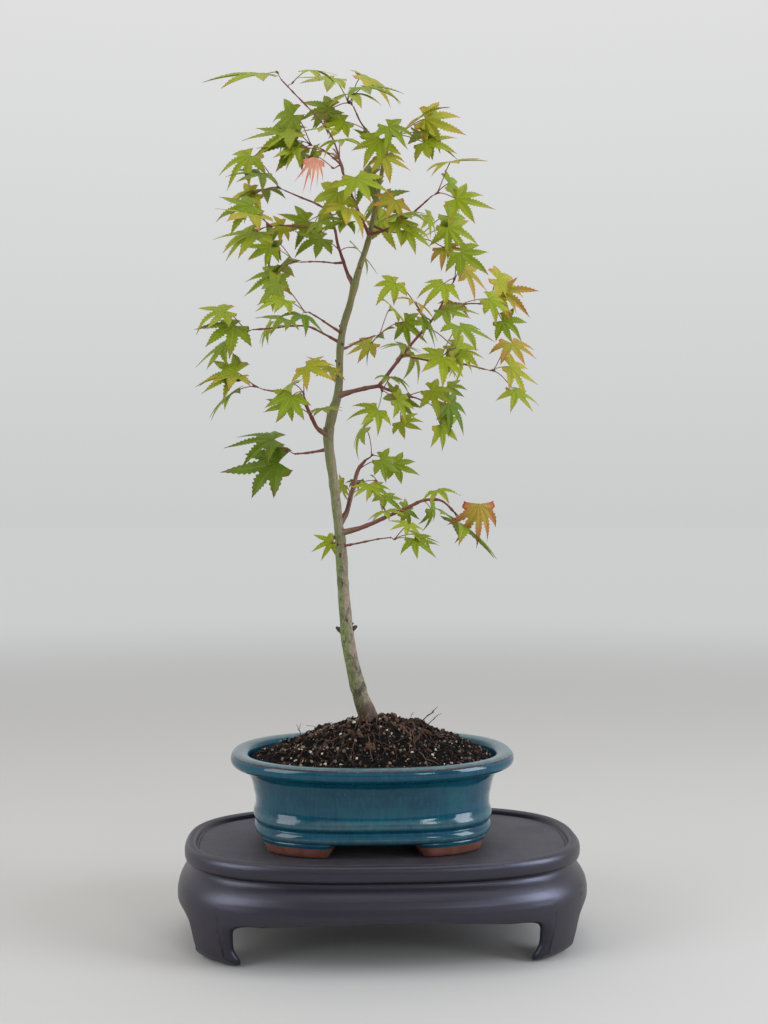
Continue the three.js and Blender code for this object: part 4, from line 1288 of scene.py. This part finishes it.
shoot_red = shader_material("shoot_red", Base_Color=(0.130, 0.034, 0.024, 1), Roughness=0.5)
stalk_red = shader_material("stalk_red", Base_Color=(0.230, 0.052, 0.036, 1), Roughness=0.5)
stalk_green = shader_material("stalk_green", Base_Color=(0.230, 0.200, 0.060, 1), Roughness=0.5)
stalk_shade = draw.choice([1, 1, 2], len(stalk_lines))
stalk_radii = STALK_RADIUS + STALK_SWELL * np.abs(np.linspace(-1, 1, STALK_POINTS)) ** 5
stalk_radii = np.tile(stalk_radii, (len(stalk_lines), 1))
stalk_points, stalk_faces = tubes(stalk_lines, stalk_radii)
per_stalk = len(stalk_faces[0]) // len(stalk_lines)
twigs = merge([
    tubes(shoot_lines, shoot_radii, 8),
    (stalk_points, stalk_faces, [np.repeat(stalk_shade, per_stalk), np.repeat(stalk_shade, 2)]),
    *[spike(spot, way, 2.1, 0.75) for spot, way in axil_buds],
])
foliage = sorted(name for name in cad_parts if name.startswith("foliage_"))
mesh_piece("twigs", twigs, [shoot_red, stalk_red, stalk_green], foliage)

# ---------------------------------------------------------------------------------------------
# Leaves. Thin hands of five long lobes and two small ones, cut two thirds of the way in, drawn out
# to fine points and toothed twice over, hanging and folded along their veins. Most are fresh green;
# some have begun to turn, from the points inwards, to gold, orange and red.
# ---------------------------------------------------------------------------------------------

LOBE_GAP = math.radians(43)
SINUS = 0.28  # distance from the stalk, as a share of the blade, where the lobes part
LEAF_THICKNESS = 0.16
CROSS = np.array([-1, -0.5, -0.045, 0.045, 0.5, 1])  # shares of the half width across a lobe
RIB_DEPTH = 0.005  # how far the midrib of a lobe is sunk
SLANT = 0.62  # how steeply side veins and teeth point forwards
TAPER = 1.45  # how fast a lobe narrows to its point
FREE_EDGE = np.array([1.0, 0.80, 0.78, 0.86])[:, None]  # narrowing of a blade's two free edges
LOBE_SWING = 0.085  # how far a lobe swings aside, in radians
LOBE_STRETCH = (-0.14, 0.10)  # how much shorter or longer than its cut a lobe is
LOBE_ARCH = (0.05, 0.70)  # how far lobes arch down over their length, in radians
ARCH_SPREAD = 0.28  # how much one lobe differs in that from the next
VEIN_FOLD = (0.08, 0.36)  # how steeply a lobe rises on either side of its vein
SIDE_DROOP = (0.0, 0.28)  # how far the blade's two sides hang
SHARP_ANGLE = 70  # degrees past which two faces meet in a sharp edge

# Cut of the blade: lobe lengths from one side to the other, belly, tooth depth, teeth on long lobes.
CUTS = [
    ((0.36, 0.70, 0.94, 1.0, 0.94, 0.70, 0.36), 2.5, 0.17, 9),
    ((0.34, 0.76, 0.97, 1.0, 0.91, 0.66, 0.32), 2.0, 0.18, 9),
    ((0.34, 0.62, 0.86, 1.0, 0.88, 0.64, 0.34), 3.1, 0.16, 8),
]
YOUNG_CUT = ((0.40, 0.74, 0.92, 1.0, 0.92, 0.74, 0.40), 0.35, 0.07, 7)
ZONES = ("inner", "outer", "points", "veins", "under")  # parts of a blade, in the order of the colours
INNER, OUTER, TIP, VEIN, UNDER = range(len(ZONES))
# Every colour here is set brighter than the blades' own colour: painted light that stands in for the light
# shining through the thin blades.
LEAF_COLOURS = {
    "leaf": [
        (0.185, 0.265, 0.010), (0.210, 0.285, 0.012), (0.270, 0.210, 0.030), (0.320, 0.400, 0.055),
        (0.235, 0.300, 0.045),
    ],
    "lime": [
        (0.250, 0.325, 0.010), (0.290, 0.345, 0.014), (0.360, 0.250, 0.040), (0.400, 0.450, 0.065),
        (0.300, 0.355, 0.055),
    ],
    # Painted shade: a darker copy of the green for blades in the crown's shadow.
    "deep": [
        (0.110, 0.185, 0.008), (0.130, 0.205, 0.010), (0.170, 0.140, 0.022), (0.220, 0.290, 0.040),
        (0.165, 0.225, 0.035),
    ],
    "gold": [
        (0.310, 0.330, 0.014), (0.380, 0.340, 0.022), (0.420, 0.210, 0.040), (0.460, 0.450, 0.075),
        (0.360, 0.365, 0.065),
    ],
    "amber": [
        (0.320, 0.290, 0.018), (0.410, 0.255, 0.032), (0.400, 0.130, 0.038), (0.470, 0.390, 0.070),
        (0.380, 0.300, 0.070),
    ],
    "ember": [
        (0.370, 0.270, 0.035), (0.450, 0.190, 0.055), (0.410, 0.080, 0.038), (0.500, 0.340, 0.090),
        (0.410, 0.220, 0.080),
    ],
    "rose": [
        (0.680, 0.300, 0.190), (0.700, 0.230, 0.160), (0.560, 0.095, 0.080), (0.740, 0.460, 0.280),
        (0.640, 0.330, 0.230),
    ],
}
# Common factor on the red, green and blue of every colour above, save those of the young rose leaf.
LEAF_DEPTH = np.array([0.893, 0.836, 0.855])
HALF_CLOSED = {"rose": 1.0, "ember": 0.45}  # how far young and withering blades are folded shut


def lobe_rows(length, belly, depth, teeth, gap):
    """Margin of half a lobe as rows of distance along the lobe and half width. Inside the cut the
    margin lies on the line shared with the next lobe; beyond it, each tooth is a notch and a point."""
    inside = np.linspace(0, SINUS, 5)
    rows = [(at, at * math.tan(gap / 2)) for at in inside]
    waist = SINUS * math.tan(gap / 2)
    count = max(2, round(teeth * (length - SINUS) / 0.7))
    size = min(1.0, (length / 0.9) ** 0.5)
    steps = np.sort(np.concatenate([np.arange(1, count + 1), np.arange(count) + 0.62])) / (count + 0.35)
    for k, u in enumerate(steps):
        width = waist * (1 - u) ** TAPER * (1 + belly * u * size)
        tooth = 1 + depth if k % 2 == 0 else 1 - depth
        rows.append((SINUS + u * (length - SINUS), width * tooth))
    rows.append((length, 0.0))
    return np.array(rows)


def leaf_shape(lengths, belly, depth, teeth):
    """The flat blade for a length of 1: points, triangles, zone of each triangle, and which points
    are on the margin. Every lobe is a strip of slanted rows; points shared by two strips are one."""
    points, triangles, zones, start = [], [], [], 0
    for k, length in enumerate(lengths):
        margin = lobe_rows(length, belly, depth, teeth, LOBE_GAP)
        across = margin[:, 1:] * CROSS
        if k == 0:
            across[1:5, :3] *= FREE_EDGE
        if k == len(lengths) - 1:
            across[1:5, 3:] *= FREE_EDGE
        slant = SLANT * np.abs(across) * np.clip(1.2 - margin[:, :1], 0.2, 1)
        along = margin[:, :1] - slant.max(axis=1, keepdims=True) + slant
        along[0] = across[0] = 0
        along[-1] = length
        angle = (k - (len(lengths) - 1) / 2) * LOBE_GAP
        x = along * math.cos(angle) - across * math.sin(angle)
        y = along * math.sin(angle) + across * math.cos(angle)
        rib = -RIB_DEPTH * (np.abs(CROSS) < 0.1) * (margin[:, :1] > 0)
        points.append(np.stack([x, y, rib], axis=-1).reshape(-1, 3))
        quads = grid_quads(len(margin), len(CROSS), closed=False)
        row = np.arange(len(quads)) // (len(CROSS) - 1)
        strip = np.arange(len(quads)) % (len(CROSS) - 1)
        share = margin[:-1, 0][row] / length
        zone = np.where(share > 0.5, OUTER, INNER)
        zone = np.where((share > 0.88) | ((strip % 4 == 0) & (share > 0.74)), TIP, zone)
        zone = np.where((strip == 2) & (share < 0.85), VEIN, zone)
        for order in ((0, 1, 2), (0, 2, 3)):
            triangles.append(quads[:, order] + start)
            zones.append(zone)
        start += len(points[-1])
    points, triangles, zones = np.concatenate(points), np.concatenate(triangles), np.concatenate(zones)
    _, keep, same = np.unique(np.round(points[:, :2], 4), axis=0, return_index=True, return_inverse=True)
    points, triangles = points[keep], same.ravel()[triangles]
    a, b, c = triangles.T
    solid = (a != b) & (b != c) & (c != a)
    flat = points[:, :2]
    first, second = flat[b] - flat[a], flat[c] - flat[a]
    solid &= np.abs(first[:, 0] * second[:, 1] - first[:, 1] * second[:, 0]) > 1e-8
    triangles, zones = triangles[solid], zones[solid]
    edges = np.concatenate([triangles[:, [0, 1]], triangles[:, [1, 2]], triangles[:, [2, 0]]])
    edges, uses = np.unique(np.sort(edges, axis=1), axis=0, return_counts=True)
    margin = np.zeros(len(points), bool)
    margin[edges[uses == 1].ravel()] = True
    return points, triangles, zones, margin


def two_sided(points, triangles, zones, margin):
    """The blade as a closed thin sheet: upper and lower faces that share the points of the margin."""
    lower = np.arange(len(points))
    lower[~margin] = len(points) + np.arange((~margin).sum())
    both = np.concatenate([points, points[~margin]])
    side = np.concatenate([np.where(margin, 0, 1), -np.ones((~margin).sum())])
    faces = np.concatenate([triangles, lower[triangles][:, ::-1]])
    return both, side, faces, np.concatenate([zones, np.where(zones == VEIN, VEIN, UNDER)])


def grow_blade(cut, length, base, along, across, up, closed, draw):
    """One blade: every lobe swings a little aside, stretches, arches downwards by its own curve and
    folds up along its vein, and the whole is set on its stalk."""
    flat, side, _, _ = cut
    x, y = flat[:, 0], flat[:, 1]
    reach, angle = np.hypot(x, y), np.arctan2(y, x)
    outer = np.clip((reach - 0.22) / 0.6, 0, 1)
    outer = outer * outer * (3 - 2 * outer)
    lobe = np.arange(-3, 4)
    place = np.clip(angle / LOBE_GAP, -3, 3)
    swing = np.interp(place, lobe, draw.normal(0, LOBE_SWING, len(lobe))) * outer
    stretch = 1 + np.interp(place, lobe, draw.uniform(*LOBE_STRETCH, len(lobe))) * outer
    by_lobe = draw.uniform(*LOBE_ARCH) + draw.normal(0, ARCH_SPREAD, len(lobe))
    arch = np.interp(place, lobe, by_lobe + 0.5 * closed)
    arch = np.clip(arch, 0.05, 2.2)
    swing = swing - place * (draw.uniform(-0.04, 0.10) + 0.42 * closed)
    reach = reach * stretch
    level = np.sin(arch * reach) / arch
    drop = (1 - np.cos(arch * reach)) / arch
    fold = np.abs(reach * np.sin((place - np.round(place)) * LOBE_GAP)) * draw.uniform(*VEIN_FOLD)
    lift = flat[:, 2] + fold - drop - y**2 * (draw.uniform(*SIDE_DROOP) + 0.5 * closed)
    local = np.stack([level * np.cos(angle + swing), level * np.sin(angle + swing), lift], axis=-1)
    return base + length * (local @ np.stack([along, across, up])) + (side * LEAF_THICKNESS / 2)[:, None] * up


cuts = [two_sided(*leaf_shape(*values)) for values in CUTS]
young = two_sided(*leaf_shape(*YOUNG_CUT))
leaf_parts = []
for tint, length, base, along, across, up in blades:
    closed = HALF_CLOSED.get(tint, 0.0)
    cut = young if tint == "rose" else cuts[draw.integers(len(cuts))]
    points = grow_blade(cut, length, base, along, across, up, closed, draw)
    leaf_parts.append((points, [cut[2]], [cut[3] + len(ZONES) * TINTS.index(tint)]))
leaf_colours = []
for tint in TINTS:
    depth = np.ones(3) if tint == "rose" else LEAF_DEPTH
    for zone, colour in zip(ZONES, LEAF_COLOURS[tint]):
        finish = {"Roughness": 0.7 if zone == "under" else 0.5, "Specular_IOR_Level": 0.14}
        leaf_colours.append(shader_material(f"{tint}_{zone}", Base_Color=(*(colour * depth), 1), **finish))
for label, half in (("a", leaf_parts[0::2]), ("b", leaf_parts[1::2])):
    leaves = mesh_piece("leaves_" + label, merge(half), leaf_colours, foliage)
    leaves.data.set_sharp_from_angle(angle=math.radians(SHARP_ANGLE))

# ---------------------------------------------------------------------------------------------
# Studio. A pale floor that fades into the wall of a pale room, with a window to either side, a
# small one in front, a broad dim one behind the camera and a soft light above.
# ---------------------------------------------------------------------------------------------

FLOOR_RADIUS = 30000.0
FLOOR_FADES = (600.0, 3600.0)  # distances between which the floor turns into wall
WALL_GLOW = (0.60, 0.61, 0.61)
HORIZON_GLOW = 0.955  # brightness of the far floor against the wall behind it


def pale_floor():
    """Matt floor near the object; further out it hands over to the even glow of the wall."""
    matt = {"Roughness": 0.8, "Specular_IOR_Level": 0.1}
    made = shader_material("studio_floor", Emission_Color=(*WALL_GLOW, 1), **matt)
    away = add_node(made, "VectorMath", {0: place_of(made)}, operation="LENGTH").outputs["Value"]
    reach = {0: away, 1: FLOOR_FADES[0], 2: FLOOR_FADES[1]}
    far = add_node(made, "MapRange", reach, interpolation_type="SMOOTHSTEP").outputs[0]
    shader = made.node_tree.nodes["Principled BSDF"]
    made.node_tree.links.new(times(made, far, HORIZON_GLOW), shader.inputs["Emission Strength"])
    return finish_with(made, blend(made, far, (0.50, 0.485, 0.465), (0.0, 0.0, 0.0)))


round_floor = np.linspace(0, 2 * math.pi, 96, endpoint=False)
floor_points = [(FLOOR_RADIUS * MM * math.cos(a), FLOOR_RADIUS * MM * math.sin(a), 0) for a in round_floor]
floor_mesh = bpy.data.meshes.new("studio_floor")
floor_mesh.from_pydata(floor_points, [], [tuple(range(len(floor_points)))])
floor_mesh.materials.append(pale_floor())
floor_piece = bpy.data.objects.new("studio_floor", floor_mesh)
bpy.context.scene.collection.objects.link(floor_piece)

# The room is a little brighter overhead, and darker behind the camera than behind the object.
world = bpy.data.worlds.new("studio")
bpy.context.scene.world = world
world.use_nodes = True
direction = add_node(world, "SeparateXYZ", {0: add_node(world, "TexCoord").outputs["Generated"]})
overhead = ramp(world, direction.outputs["Z"], (0.0, WALL_GLOW), (0.4, (0.76, 0.76, 0.76)))
depth = add_node(world, "MapRange", {0: direction.outputs["Y"], 1: -1.0}).outputs[0]
behind = ramp(world, depth, (0.10, (0.26, 0.28, 0.31)), (0.55, (1.0, 1.0, 1.0)))
room = blend(world, 1.0, overhead, behind, "MULTIPLY")
world.node_tree.links.new(room, world.node_tree.nodes["Background"].inputs["Color"])
bpy.context.scene.view_settings.view_transform = "Standard"


def window(name, place, aim_height, width, height, power, colour):
    """A soft rectangular light that faces the object's middle line at a height; in metres."""
    lamp = bpy.data.lights.new(name, "AREA")
    lamp.shape, lamp.size, lamp.size_y = "RECTANGLE", width, height
    lamp.energy, lamp.color = power, colour
    made = bpy.data.objects.new(name, lamp)
    made.location = place
    aim = Vector((0, 0, aim_height)) - Vector(place)
    made.rotation_euler = aim.to_track_quat("-Z", "Y").to_euler()
    bpy.context.scene.collection.objects.link(made)


window("window_left", (-1.95, -0.95, 1.25), 0.35, 1.3, 1.7, 30, (0.92, 0.96, 1.0))
window("window_right", (1.9, -0.75, 1.05), 0.3, 1.0, 1.4, 38, (0.82, 0.90, 1.0))
window("window_front", (0.95, -1.9, 0.95), 0.3, 0.35, 0.45, 5, (0.95, 0.97, 1.0))
window("window_behind", (-0.1, -2.3, 1.15), 0.2, 2.0, 0.8, 2.8, (0.93, 0.95, 1.0))
window("window_top", (0.2, 0.1, 2.6), 0.3, 2.2, 2.2, 18, (1.0, 0.99, 0.97))

camera = bpy.data.objects.new("camera", bpy.data.cameras.new("camera"))
camera.data.lens = 45.7
camera.data.clip_end = 100
camera.location = (-0.0599, -1.1734, 0.380)
camera.rotation_euler = (math.radians(90), 0, math.radians(-3))
bpy.context.scene.collection.objects.link(camera)
bpy.context.scene.camera = camera
